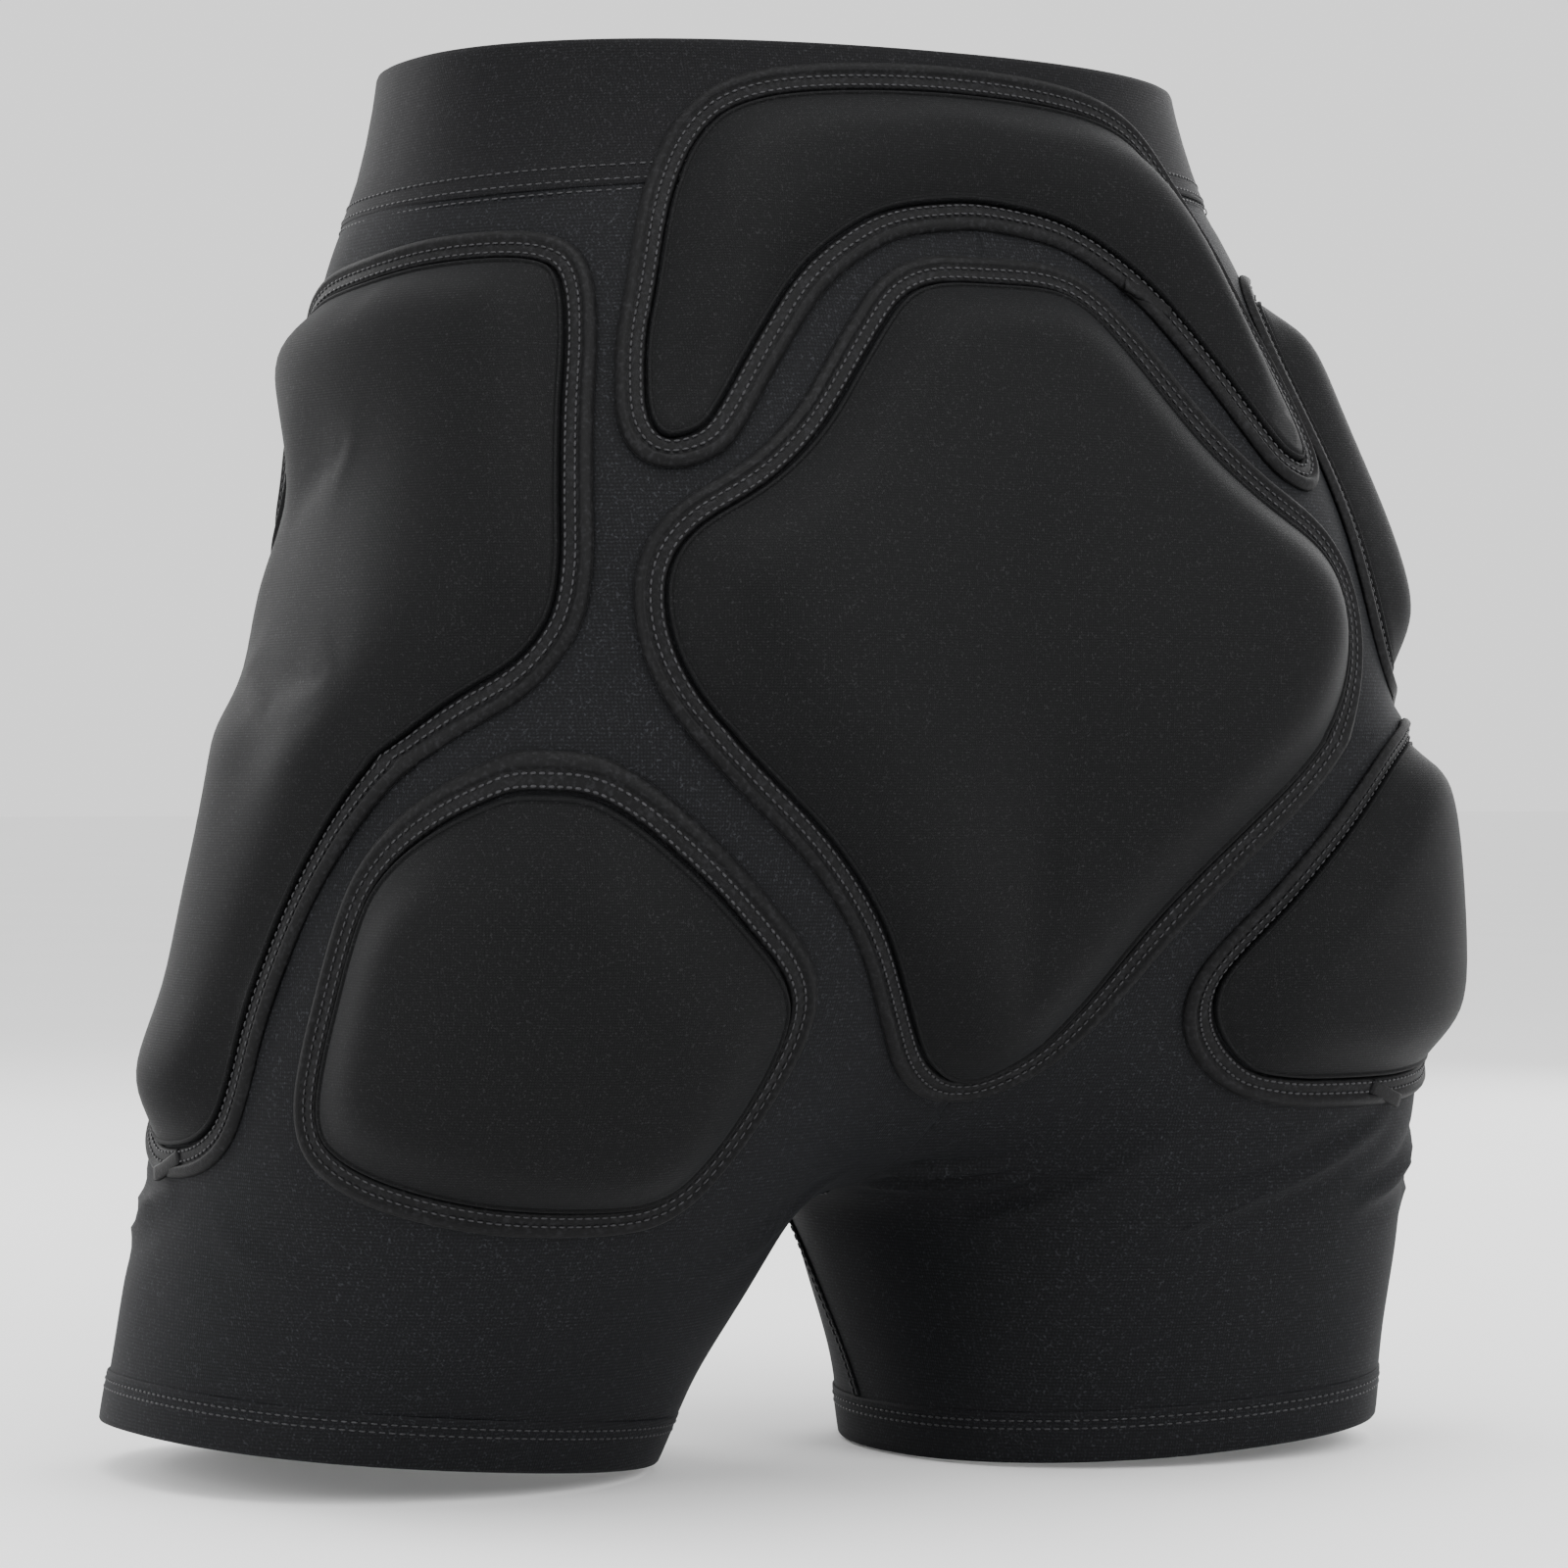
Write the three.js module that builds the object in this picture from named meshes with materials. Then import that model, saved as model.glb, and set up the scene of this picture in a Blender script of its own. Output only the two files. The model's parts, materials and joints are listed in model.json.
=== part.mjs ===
import * as THREE from "three";

// Driving sizes in millimetres and degrees. +Z is up, the wearer faces -Y and the wearer's left is +X.
const height = 440; // hem underside to waist rim
const bandHeight = 44; // waistband
const hemHeight = 16; // turned hem
const backShift = -18.15; // puts the middle of the bounding box over the origin
const crotchHeight = 84; // lowest point of the fork
const cloth = 2.4; // shell fabric, lined
const bandWall = 1.6; // one layer of the waistband
const elasticThick = 1.5;
const stride = 8; // each leg's swing in the standing shape, left forward and right back
const hipY = -5; // hip axis
const hipZ = 192;
const gussetHalf = 12; // half width of the crotch gusset
const flexBand = 72; // width of the cloth that bends at the hip
const creaseWidth = 52; // tallest part of the crease band
const tapeWidth = 9.5; // binding tape round a pad
const tapeThick = 1.8;
const stitchIn = 4; // the stitch line's distance from the tape's inner edge
const seamGap = 0.3; // clearance between touching pieces
const padGap = 0.9; // clearance under a pad
const coverThick = 1.3;
const bevel = 24; // rounded shoulder of a pad
const padHeight = { seat: 20, lumbar: 14, side: 15, thigh: 16 };
const cupHeight = 192; // the torso starts to close towards the fork here
const roundness = 2.2;
const softness = 11;

// The pattern below is drawn for a garment of this height with its fork at this height.
const drawn = { height: 440, crotch: 84 };
// A drawn height carried over to this garment's own height and fork.
function level(z) {
  if (z > cupHeight) return cupHeight + ((z - cupHeight) * (height - cupHeight)) / (drawn.height - cupHeight);
  if (z < drawn.crotch) return (z * crotchHeight) / drawn.crotch;
  return cupHeight - ((cupHeight - z) * (cupHeight - crotchHeight)) / (cupHeight - drawn.crotch);
}
const levelled = (rows) => rows.map(([z, ...sizes]) => [level(z), ...sizes]);

// Torso keys: height, half width, depth to the front, depth to the back.
const torsoKeys = levelled([
  [192, 174, 62, 130],
  [236, 177, 64, 140],
  [290, 172, 68, 140],
  [339, 164, 78, 133],
  [377, 153, 90, 119],
  [409, 139, 101, 103],
  [444, 131, 108, 92],
  [485, 131, 109, 92],
]);
// Leg keys: height, centre x, centre y, reach outward, inward, to the front, to the back.
const legKeys = levelled([
  [-14, 123, -27, 85, 85, 82, 84],
  [29, 121, -16, 86, 92, 85, 90],
  [78, 118, -3, 88, 100, 85, 102],
  [127, 114, 11, 90, 101, 80, 108],
  [181, 107, 19, 88, 92, 75, 112],
  [246, 95, 22, 85, 76, 70, 108],
]);
const buttock = { x: 72, y: 76, z: level(241), rx: 92, ry: 74, rz: 109 };
const legFade = { from: level(230), rate: 0.9 }; // a leg's tube gives way to the torso above this height
const forkRise = 4; // the closed cup ends this far above the lowest point of the fork

// Smooth values between height keys.
function keyed(rows, z) {
  let k = 0;
  while (k < rows.length - 2 && z > rows[k + 1][0]) k++;
  const span = rows[k + 1][0] - rows[k][0];
  const t = Math.min(Math.max((z - rows[k][0]) / span, 0), 1);
  const rise = (i, c) => (rows[i + 1][c] - rows[i][c]) / (rows[i + 1][0] - rows[i][0]);
  const slope = (i, c) => {
    if (i === 0) return rise(0, c);
    if (i === rows.length - 1) return rise(i - 1, c);
    return (rise(i - 1, c) + rise(i, c)) / 2;
  };
  const out = [];
  for (let c = 1; c < rows[0].length; c++) {
    const a = 2 * t ** 3 - 3 * t ** 2 + 1;
    const b = t ** 3 - 2 * t ** 2 + t;
    const d = t ** 3 - t ** 2;
    out.push(
      a * rows[k][c] + b * span * slope(k, c) + (1 - a) * rows[k + 1][c] + d * span * slope(k + 1, c),
    );
  }
  return out;
}

// Signed distance to the worn shape before the stride: negative inside, the same on both sides.
function form(x, y, z) {
  const ax = Math.abs(x);
  const [halfWide, front, back] = keyed(torsoKeys, Math.max(z, cupHeight));
  const cup = Math.max((cupHeight - z) / (cupHeight - crotchHeight - forkRise), 0) ** roundness;
  const deep = y > 0 ? back : front;
  const torso = (ax / halfWide) ** roundness + (Math.abs(y) / deep) ** roundness + cup;
  const d1 = (torso ** (1 / roundness) - 1) * Math.min(halfWide, deep);
  const [cx, cy, outer, inner, legFront, legBack] = keyed(legKeys, z);
  const wide = ax > cx ? outer : inner;
  const thick = y > cy ? legBack : legFront;
  const leg = (Math.abs(ax - cx) / wide) ** roundness + (Math.abs(y - cy) / thick) ** roundness;
  const fade = Math.max(z - legFade.from, 0) * legFade.rate;
  const d2 = (leg ** (1 / roundness) - 1) * Math.min(wide, thick) + fade;
  const b = buttock;
  const ball = Math.hypot((ax - b.x) / b.rx, (y - b.y) / b.ry, (z - b.z) / b.rz);
  const d3 = (ball - 1) * b.ry;
  const low = Math.min(d1, d2, d3);
  let sum = 0;
  for (const d of [d1, d2, d3]) sum += Math.exp((low - d) / softness);
  return low - softness * Math.log(sum);
}

function slopeAt(p) {
  const h = 0.4;
  return new THREE.Vector3(
    form(p.x + h, p.y, p.z) - form(p.x - h, p.y, p.z),
    form(p.x, p.y + h, p.z) - form(p.x, p.y - h, p.z),
    form(p.x, p.y, p.z + h) - form(p.x, p.y, p.z - h),
  ).multiplyScalar(1 / (2 * h));
}

// Moves a point onto the worn shape.
function snap(p) {
  const q = p.clone();
  for (let i = 0; i < 8; i++) {
    const g = slopeAt(q);
    const f = form(q.x, q.y, q.z);
    q.addScaledVector(g, -f / Math.max(g.lengthSq(), 0.05));
    if (Math.abs(f) < 1e-4) break;
  }
  return q;
}

// A point above the worn shape by a given height; level keeps it in its own horizontal plane.
function raise(p, h, level = false) {
  const n = slopeAt(p);
  if (level) n.z = 0;
  return p.clone().addScaledVector(n.normalize(), h);
}

// The first exit from the worn shape along a ray that starts inside it.
function leave(start, way) {
  let r = 0;
  for (let i = 0; i < 200; i++) {
    const f = form(start.x + way.x * r, start.y + way.y * r, start.z + way.z * r);
    if (f > -0.005) break;
    r += Math.max(-f * 0.6, 0.004);
  }
  return start.clone().addScaledVector(way, r);
}

const radians = Math.PI / 180;
// Angle from straight back (+Y) towards the side, about the body's own axis.
function onTorso(angle, z) {
  const a = angle * radians;
  return leave(new THREE.Vector3(0, 0, z), new THREE.Vector3(Math.sin(a), Math.cos(a), 0));
}
// The same about the leg's axis.
function onLeg(angle, z) {
  const a = angle * radians;
  const [cx, cy] = keyed(legKeys, z);
  return leave(new THREE.Vector3(cx, cy, z), new THREE.Vector3(Math.sin(a), Math.cos(a), 0));
}

const smooth = (t) => {
  const c = Math.min(Math.max(t, 0), 1);
  return c * c * (3 - 2 * c);
};
const mix = (a, b, t) => a.clone().lerp(b, t);

// The hip crease rises outward from the fork, across this direction.
const creaseWay = { x: 0.76, z: 0.65 };
// Swings a point of the symmetric shape into the stride; side is +1 on the left and -1 on the right.
function strideOf(p, side) {
  const past = creaseWay.x * Math.abs(p.x) - creaseWay.z * (p.z - crotchHeight - forkRise);
  const turn = side * stride * radians * smooth(past / flexBand);
  const y = p.y - hipY;
  const z = p.z - hipZ;
  return new THREE.Vector3(
    side * p.x,
    hipY + y * Math.cos(turn) + z * Math.sin(turn),
    hipZ - y * Math.sin(turn) + z * Math.cos(turn),
  );
}

// Lofts closed outlines into one body: a ring when closed, otherwise capped at both ends.
function loft(sections, closed) {
  const n = sections[0].length;
  const points = sections.flat();
  const faces = [];
  const quad = (a, b, c, d) => faces.push([a, b, c], [a, c, d]);
  const last = closed ? sections.length : sections.length - 1;
  for (let i = 0; i < last; i++) {
    const here = i * n;
    const next = ((i + 1) % sections.length) * n;
    for (let j = 0; j < n; j++) {
      const k = (j + 1) % n;
      quad(here + j, here + k, next + k, next + j);
    }
  }
  if (!closed) {
    const end = (sections.length - 1) * n;
    for (let j = 0; j < n / 2 - 1; j++) {
      quad(n - 1 - j, n - 2 - j, j + 1, j);
      quad(end + j, end + j + 1, end + n - 2 - j, end + n - 1 - j);
    }
  }
  return { points, faces };
}

// Joins rings into one body whose first and last rings have already shrunk to a line or a point.
// The first bands can split their faces along the other diagonal, to match a surface that lies against them.
function shrinkWrap(rings, flipped = 0) {
  const n = rings[0].length;
  const points = rings.flat();
  const faces = [];
  for (let r = 0; r < rings.length - 1; r++)
    for (let i = 0; i < n; i++) {
      const k = (i + 1) % n;
      const a = r * n + i;
      const b = r * n + k;
      const c = (r + 1) * n + k;
      const d = (r + 1) * n + i;
      if (r < flipped) faces.push([a, b, d], [b, c, d]);
      else faces.push([a, b, c], [a, c, d]);
    }
  return { points, faces };
}

const group = new THREE.Group();
const materials = {
  shell: new THREE.MeshStandardMaterial({ color: 0x202024, roughness: 0.85 }),
  band: new THREE.MeshStandardMaterial({ color: 0x1c1c1f, roughness: 0.8 }),
  cover: new THREE.MeshStandardMaterial({ color: 0x18181b, roughness: 0.8 }),
  foam: new THREE.MeshStandardMaterial({ color: 0x34343a, roughness: 0.95 }),
  tape: new THREE.MeshStandardMaterial({ color: 0x101012, roughness: 0.75 }),
  thread: new THREE.MeshStandardMaterial({ color: 0x26262a, roughness: 0.7 }),
  elastic: new THREE.MeshStandardMaterial({ color: 0x2c2c30, roughness: 0.9 }),
};

// Welds shared points, drops empty faces, turns the body the right way out and adds it.
function add(name, material, body) {
  const keys = new Map();
  const place = [];
  const welded = body.points.map((p) => {
    const key = [p.x, p.y, p.z].map((v) => Math.round(v * 500)).join();
    if (!keys.has(key)) {
      keys.set(key, place.length / 3);
      place.push(p.x, p.y, p.z);
    }
    return keys.get(key);
  });
  const faces = [];
  let volume = 0;
  const corner = (i) => new THREE.Vector3().fromArray(place, 3 * i);
  for (const face of body.faces) {
    const [a, b, c] = face.map((i) => welded[i]);
    if (a === b || b === c || a === c) continue;
    faces.push([a, b, c]);
    volume += corner(a).dot(corner(b).cross(corner(c)));
  }
  const index = faces.flatMap(([a, b, c]) => (volume > 0 ? [a, b, c] : [a, c, b]));
  const geometry = new THREE.BufferGeometry();
  geometry.setAttribute("position", new THREE.Float32BufferAttribute(place, 3));
  geometry.setIndex(index);
  geometry.computeVertexNormals();
  const mesh = new THREE.Mesh(geometry, materials[material]);
  mesh.name = name;
  group.add(mesh);
}

// A sheet of cloth from columns of surface points: outer face up, inner face one thickness in.
// Rows listed as level have a horizontal edge face.
function sheetBody(columns, closed, level = []) {
  const sections = columns.map((column) => {
    const inner = column.map((p, j) => raise(p, -cloth, level.includes(j)));
    return [...column, ...inner.reverse()];
  });
  return loft(sections, closed);
}

const sides = [
  ["left", 1],
  ["right", -1],
];
const across = (p) => new THREE.Vector3(-p.x, p.y, p.z);
// Side 0 is a piece that crosses the middle: each point swings with its own half.
function posed(body, side) {
  const place = (p) => (side === 0 && p.x < 0 ? strideOf(across(p), -1) : strideOf(p, side || 1));
  return { points: body.points.map(place), faces: body.faces };
}

// Height of the hip crease at a given distance from the centre.
const creaseAt = (x) => crotchHeight + forkRise + (creaseWay.x * x - 0.1 * flexBand) / creaseWay.z;
const forkSeam = crotchHeight + 26; // the seat panels end here at the centre
const seatTop = height - bandHeight - 0.4;

// A point of the seat panels' lower edge.
function creasePoint(angle) {
  let z = forkSeam;
  let p = onTorso(angle, z);
  for (let i = 0; i < 40; i++) {
    z += (Math.max(creaseAt(p.x), forkSeam) - z) * 0.5;
    p = onTorso(angle, z);
  }
  return p;
}

// Angles of the seat panels' columns, front to back: the middle ones carry on down the crease bands and legs.
const creaseColumns = 20;
const cornerX = gussetHalf + 0.6;
function cornerAngle(way) {
  const p = leave(new THREE.Vector3(cornerX, 0, forkSeam), new THREE.Vector3(0, way, 0));
  return Math.atan2(p.x, p.y) / radians;
}
const creaseStart = cornerAngle(-1);
const creaseEnd = cornerAngle(1);
const creaseAngles = [];
for (let i = 0; i <= creaseColumns; i++)
  creaseAngles.push(creaseStart + ((creaseEnd - creaseStart) * i) / creaseColumns);
const seatAngles = [180, (180 + creaseStart) / 2, ...creaseAngles, creaseEnd / 2, 0];

// Seat panels: one each side, from the centre front seam round the hip to the centre back seam.
const seatRows = 9;
const seatSheet = seatAngles.map((angle, i) => {
  const top = onTorso(angle, seatTop);
  const low = creasePoint(angle);
  const column = [];
  for (let j = 0; j <= seatRows; j++) column.push(snap(mix(top, low, j / seatRows)));
  if (i % (seatAngles.length - 1) === 0) for (const p of column) p.x = seamGap / 2;
  column[0].z = seatTop;
  column[seatRows].z = low.z;
  return column;
});
for (const [name, side] of sides)
  add(name + "_seat_panel", "shell", posed(sheetBody(seatSheet, false, [0]), side));

// Crotch gusset: a strip under the fork, from the front to the back ends of the seat panels.
const gussetSteps = 11;
const gussetAcross = 2;
function underFork(x, t) {
  const level = forkSeam - seamGap - 0.4;
  const hub = new THREE.Vector3(x, 0, forkSeam + 40);
  const ends = [-1, 1].map((s) => leave(new THREE.Vector3(x, 0, level), new THREE.Vector3(0, s, 0)));
  const [a, b] = ends.map((p) => Math.atan2(p.y - hub.y, hub.z - p.z));
  if (t === 0) return ends[0];
  if (t === 1) return ends[1];
  const turn = a + (b - a) * t;
  return leave(hub, new THREE.Vector3(0, Math.sin(turn), -Math.cos(turn)));
}
const gussetSheet = [];
for (let i = 0; i <= gussetSteps; i++) {
  const column = [];
  for (let j = 0; j <= gussetAcross; j++) {
    const x = gussetHalf * ((2 * j) / gussetAcross - 1);
    const p = underFork(Math.abs(x), i / gussetSteps);
    p.x = x;
    column.push(p);
  }
  gussetSheet.push(column);
}
const gusset = sheetBody(gussetSheet, false);
// Its long edges stand upright, so that a leg panel swings past them.
for (const p of gusset.points) p.x = Math.min(Math.max(p.x, -gussetHalf), gussetHalf);
add("crotch_gusset", "shell", posed(gusset, 0));

// Crease bands: the cloth that folds between a seat panel and a leg panel.
const creaseRows = 3;
function creaseLine(i, drop) {
  const p = creasePoint(creaseAngles[i]);
  const q = snap(new THREE.Vector3(p.x, p.y, p.z - drop));
  q.x = Math.max(q.x, cornerX);
  return q;
}
const creaseDrop = (i) => 6 + creaseWidth * smooth((2.2 * Math.min(i, creaseColumns - i)) / creaseColumns);
const creaseSheet = [];
for (let i = 0; i <= creaseColumns; i++) {
  const column = [];
  for (let j = 0; j <= creaseRows; j++)
    column.push(creaseLine(i, seamGap + 0.5 + (creaseDrop(i) * j) / creaseRows));
  creaseSheet.push(column);
}
for (const [name, side] of sides)
  add(name + "_crease_band", "shell", posed(sheetBody(creaseSheet, false), side));

// Leg panels: tubes from the crease band and the gusset's edge down to the hem.
const legInside = gussetSteps;
const legRows = 6;
// A hem point straight below, at a height measured after the stride.
function hemPoint(angle, z, side, h) {
  let rest = z;
  let p = onLeg(angle, rest);
  for (let i = 0; i < 12; i++) {
    rest += z - strideOf(raise(p, h, true), side).z;
    p = onLeg(angle, rest);
  }
  return raise(p, h, true);
}
const legAngle = (p) => {
  const [cx, cy] = keyed(legKeys, p.z);
  return Math.atan2(p.x - cx, p.y - cy) / radians;
};
const legTop = [];
for (let i = 0; i <= creaseColumns; i++) legTop.push(creaseLine(i, 2 * seamGap + 1 + creaseDrop(i)));
for (let i = 1; i < legInside; i++) {
  const p = underFork(gussetHalf + 0.6, 1 - i / legInside);
  p.x = gussetHalf + 0.6;
  legTop.push(p);
}
for (const [name, side] of sides) {
  const columns = legTop.map((top) => {
    const low = hemPoint(legAngle(top), hemHeight + 0.9, side, 0);
    const column = [];
    for (let j = 0; j <= legRows; j++) {
      const p = snap(mix(top, low, j / legRows));
      column.push(j === 0 ? top : p);
    }
    return column;
  });
  add(name + "_leg_panel", "shell", posed(sheetBody(columns, true, [legRows]), side));
  const ring = (low, high, inner, outer) => {
    const sections = legTop.map((top) => {
      const angle = legAngle(top);
      return [
        hemPoint(angle, low, side, outer),
        hemPoint(angle, high, side, outer),
        hemPoint(angle, high, side, inner),
        hemPoint(angle, low, side, inner),
      ];
    });
    return posed(loft(sections, true), side);
  };
  const hem = ring(0, hemHeight - 0.6, -cloth - 0.8, 0.6);
  for (const p of hem.points) if (Math.abs(p.z) < 0.05) p.z = 0;
  add(name + "_hem", "shell", hem);
  add(name + "_hem_stitching", "thread", ring(hemHeight - 0.3, hemHeight + 0.5, -cloth, 0.3));
}

// Waistband: a folded sheath open at its lower edge, with the elastic inside it.
const bandColumns = 44;
function waistRing(section) {
  const sections = [];
  for (let i = 0; i < bandColumns; i++) {
    const angle = (360 * i) / bandColumns;
    sections.push(
      section.map(([h, z]) => {
        const p = onTorso(Math.min(angle, 360 - angle), z);
        const q = raise(p, h, true);
        if (angle > 180) q.x = -q.x;
        return q;
      }),
    );
  }
  return loft(sections, true);
}
const bandLow = height - bandHeight + 0.9;
const sleeve = 0.9; // room each side of the elastic
const deep = 2 * bandWall + elasticThick + 2 * sleeve;
const bandParts = [0.32, 0.64]; // levels of the rows between the band's edges
const bandRows = [bandLow, ...bandParts.map((t) => bandLow + t * bandHeight)];
add(
  "waistband_sheath",
  "band",
  waistRing([
    ...bandRows.map((z) => [0, z]),
    [0, height],
    [-deep, height],
    ...[...bandRows].reverse().map((z) => [-deep, z]),
    ...bandRows.map((z) => [bandWall - deep, z]),
    [bandWall - deep, height - bandWall],
    [-bandWall, height - bandWall],
    ...[...bandRows].reverse().map((z) => [-bandWall, z]),
  ]),
);
const elasticRows = [bandLow + 0.4, ...bandRows.slice(1), height - bandWall - 0.6];
// Listed the other way round from the sheath, so that the faces that lie together split along one diagonal.
add(
  "waistband_elastic",
  "elastic",
  waistRing([
    ...[...elasticRows].reverse().map((z) => [-bandWall - sleeve, z]),
    ...elasticRows.map((z) => [-bandWall - sleeve - elasticThick, z]),
  ]),
);
add(
  "waistband_stitching",
  "thread",
  waistRing([
    [-0.2, seatTop + seamGap],
    [-0.2, bandLow - seamGap],
    [-cloth, bandLow - seamGap],
    [-cloth, seatTop + seamGap],
  ]),
);

// Pad outlines, one half or one whole: angle from straight back and height, from one tip round to the other.
const pads = {
  lumbar: {
    on: onTorso,
    mirrored: "ends",
    there: [[0, 435], [12, 434.5], [25, 433], [35, 430], [42, 424], [46.5, 412], [48.3, 396], [48.5, 380],
      [48.3, 362], [48.3, 346], [47.5, 331], [46.5, 319], [44, 309], [41, 305.5]],
    back: [[0, 383], [13, 379], [20, 371], [25, 361], [28.5, 348], [31.5, 334], [33.8, 321],
      [36.5, 310], [41, 305.5]],
  },
  seat: {
    on: onTorso,
    mirrored: "sides",
    heart: [[0, 320], [0, 175]],
    there: [[0, 374], [11, 373], [17, 367], [21, 356], [25, 341], [29, 324], [34, 309], [40, 297], [43, 284],
      [43.4, 264], [41, 242], [35, 217], [28, 194], [22, 170], [17, 143], [13, 129], [6, 121], [0, 119.5]],
  },
  side: {
    on: onLeg,
    heart: [[76, 337], [100, 132]],
    there: [[72, 379], [50, 380], [30, 379], [21, 375], [18, 366], [18, 350], [20, 325], [21, 300],
      [21.5, 276], [24, 257], [31, 243], [41, 236], [51, 227], [59, 213], [65, 194], [69, 171],
      [71, 150], [71, 128], [73, 112], [81, 101], [98, 94]],
    back: [[72, 379], [95, 376], [118, 372], [131, 363], [135, 347], [131, 329], [119, 314], [117, 304],
      [126, 291], [135, 272], [138, 243], [137, 203], [133, 160], [127, 126], [117, 103], [98, 94]],
  },
  thigh: {
    on: onLeg,
    heart: [[24, 184], [19, 142]],
    there: [[32, 231.5], [42, 226], [51, 216], [57, 202], [59, 185], [59.5, 165], [59.5, 145], [58, 128],
      [53, 115], [44, 107], [32, 102], [19, 99]],
    back: [[32, 231.5], [20, 227], [12, 218], [5, 207], [-2, 195], [-9, 182], [-16, 169], [-20.5, 157],
      [-22, 144], [-21, 129], [-18, 115], [-13, 104], [-6, 99.5], [5, 98.5], [19, 99]],
  },
};

// Evenly spaced surface points along a rail of control points.
function rail(pad, keys, count) {
  const curve = new THREE.CatmullRomCurve3(
    keys.map(([a, z]) => new THREE.Vector3(a, z, 0)),
    false,
    "centripetal",
  );
  const fine = [];
  for (let i = 0; i <= 160; i++) {
    const p = curve.getPoint(i / 160);
    fine.push(pad.on(p.x, level(p.y)));
  }
  const run = [0];
  for (let i = 1; i < fine.length; i++) run.push(run[i - 1] + fine[i].distanceTo(fine[i - 1]));
  const out = [];
  let k = 0;
  for (let i = 0; i <= count; i++) {
    const want = (run[run.length - 1] * i) / count;
    while (k < fine.length - 2 && run[k + 1] < want) k++;
    out.push(mix(fine[k], fine[k + 1], (want - run[k]) / (run[k + 1] - run[k])));
  }
  return out.map((p) => snap(p));
}

// The closed outline of a pad, starting at its first tip, with point i facing point n - i.
function outline(pad, half) {
  if (pad.mirrored === "sides") {
    const one = rail(pad, pad.there, half);
    for (const p of [one[0], one[half]]) p.x = 0;
    return [...one, ...one.slice(1, -1).reverse().map(across)];
  }
  if (pad.mirrored === "ends") {
    const outer = rail(pad, pad.there, half / 2).reverse();
    const inner = rail(pad, pad.back, half / 2).reverse();
    for (const p of [outer[half / 2], inner[half / 2]]) p.x = 0;
    const top = [...outer, ...outer.slice(0, -1).reverse().map(across)];
    const low = [...inner, ...inner.slice(0, -1).reverse().map(across)];
    return [...top, ...low.slice(1, -1).reverse()];
  }
  const one = rail(pad, pad.there, half);
  const two = rail(pad, pad.back, half);
  return [...one, ...two.slice(1, -1).reverse()];
}

const wallHeight = 4; // upright wall at a pad's edge
// Shoulder profile of a pad: height above the cloth at a distance in from the cover's edge.
function shoulder(d, tall) {
  const t = Math.min(Math.max(d / bevel, 0), 1);
  return wallHeight + (tall - wallHeight) * (1 - (1 - t) ** 2) ** 0.75;
}

const startDepth = 12; // distance in from a pad's edge of the ring that its inner rings start from
// Rings of a pad: a point near outline point i, a distance d in from the edge, raised by h.
function ringMaker(pad, edge, tips) {
  const n = edge.length;
  const half = n / 2;
  const ends = pad.heart?.map(([a, z]) => pad.on(a, level(z)));
  const spine = edge.map((_, i) => {
    const k = Math.min(Math.max(i <= half ? i : n - i, tips), half - tips);
    if (ends) return snap(mix(ends[0], ends[1], (k - tips) / (half - 2 * tips)));
    return snap(mix(edge[k], edge[n - k], 0.5));
  });
  const inward = edge.map((p, i) => {
    const along = edge[(i + 1) % n].clone().sub(edge[(i + n - 1) % n]);
    return slopeAt(p).cross(along).normalize();
  });
  const test = inward[0].dot(spine[0].clone().sub(edge[0]));
  if (test < 0) for (const w of inward) w.negate();
  let start = edge.map((p, i) => p.clone().addScaledVector(inward[i], startDepth));
  for (let k = 0; k < 2; k++)
    start = start.map((p, i) => mix(mix(start[(i + 1) % n], start[(i + n - 1) % n], 0.5), p, 0.6));
  start = start.map((p) => snap(p));
  const reach = start.map((p, i) => p.distanceTo(spine[i]));
  const deepest = spine.map((p) => Math.min(...edge.map((q) => p.distanceTo(q))));
  const base = (i, d) => {
    if (d <= startDepth) return snap(mix(edge[i], start[i], d / startDepth));
    return snap(mix(start[i], spine[i], Math.min((d - startDepth) / reach[i], 1)));
  };
  return {
    ring: (d, h) => edge.map((_, i) => raise(base(i, d), h)),
    // A ring part of the way from one distance to the spine, raised by the shoulder profile.
    toSpine: (from, part, lift) =>
      edge.map((_, i) => {
        const d = from + (startDepth + reach[i] - from) * part;
        const p = part >= 1 ? spine[i] : base(i, d);
        return raise(p, lift(d - from + (deepest[i] - d) * part ** 3));
      }),
  };
}

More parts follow.
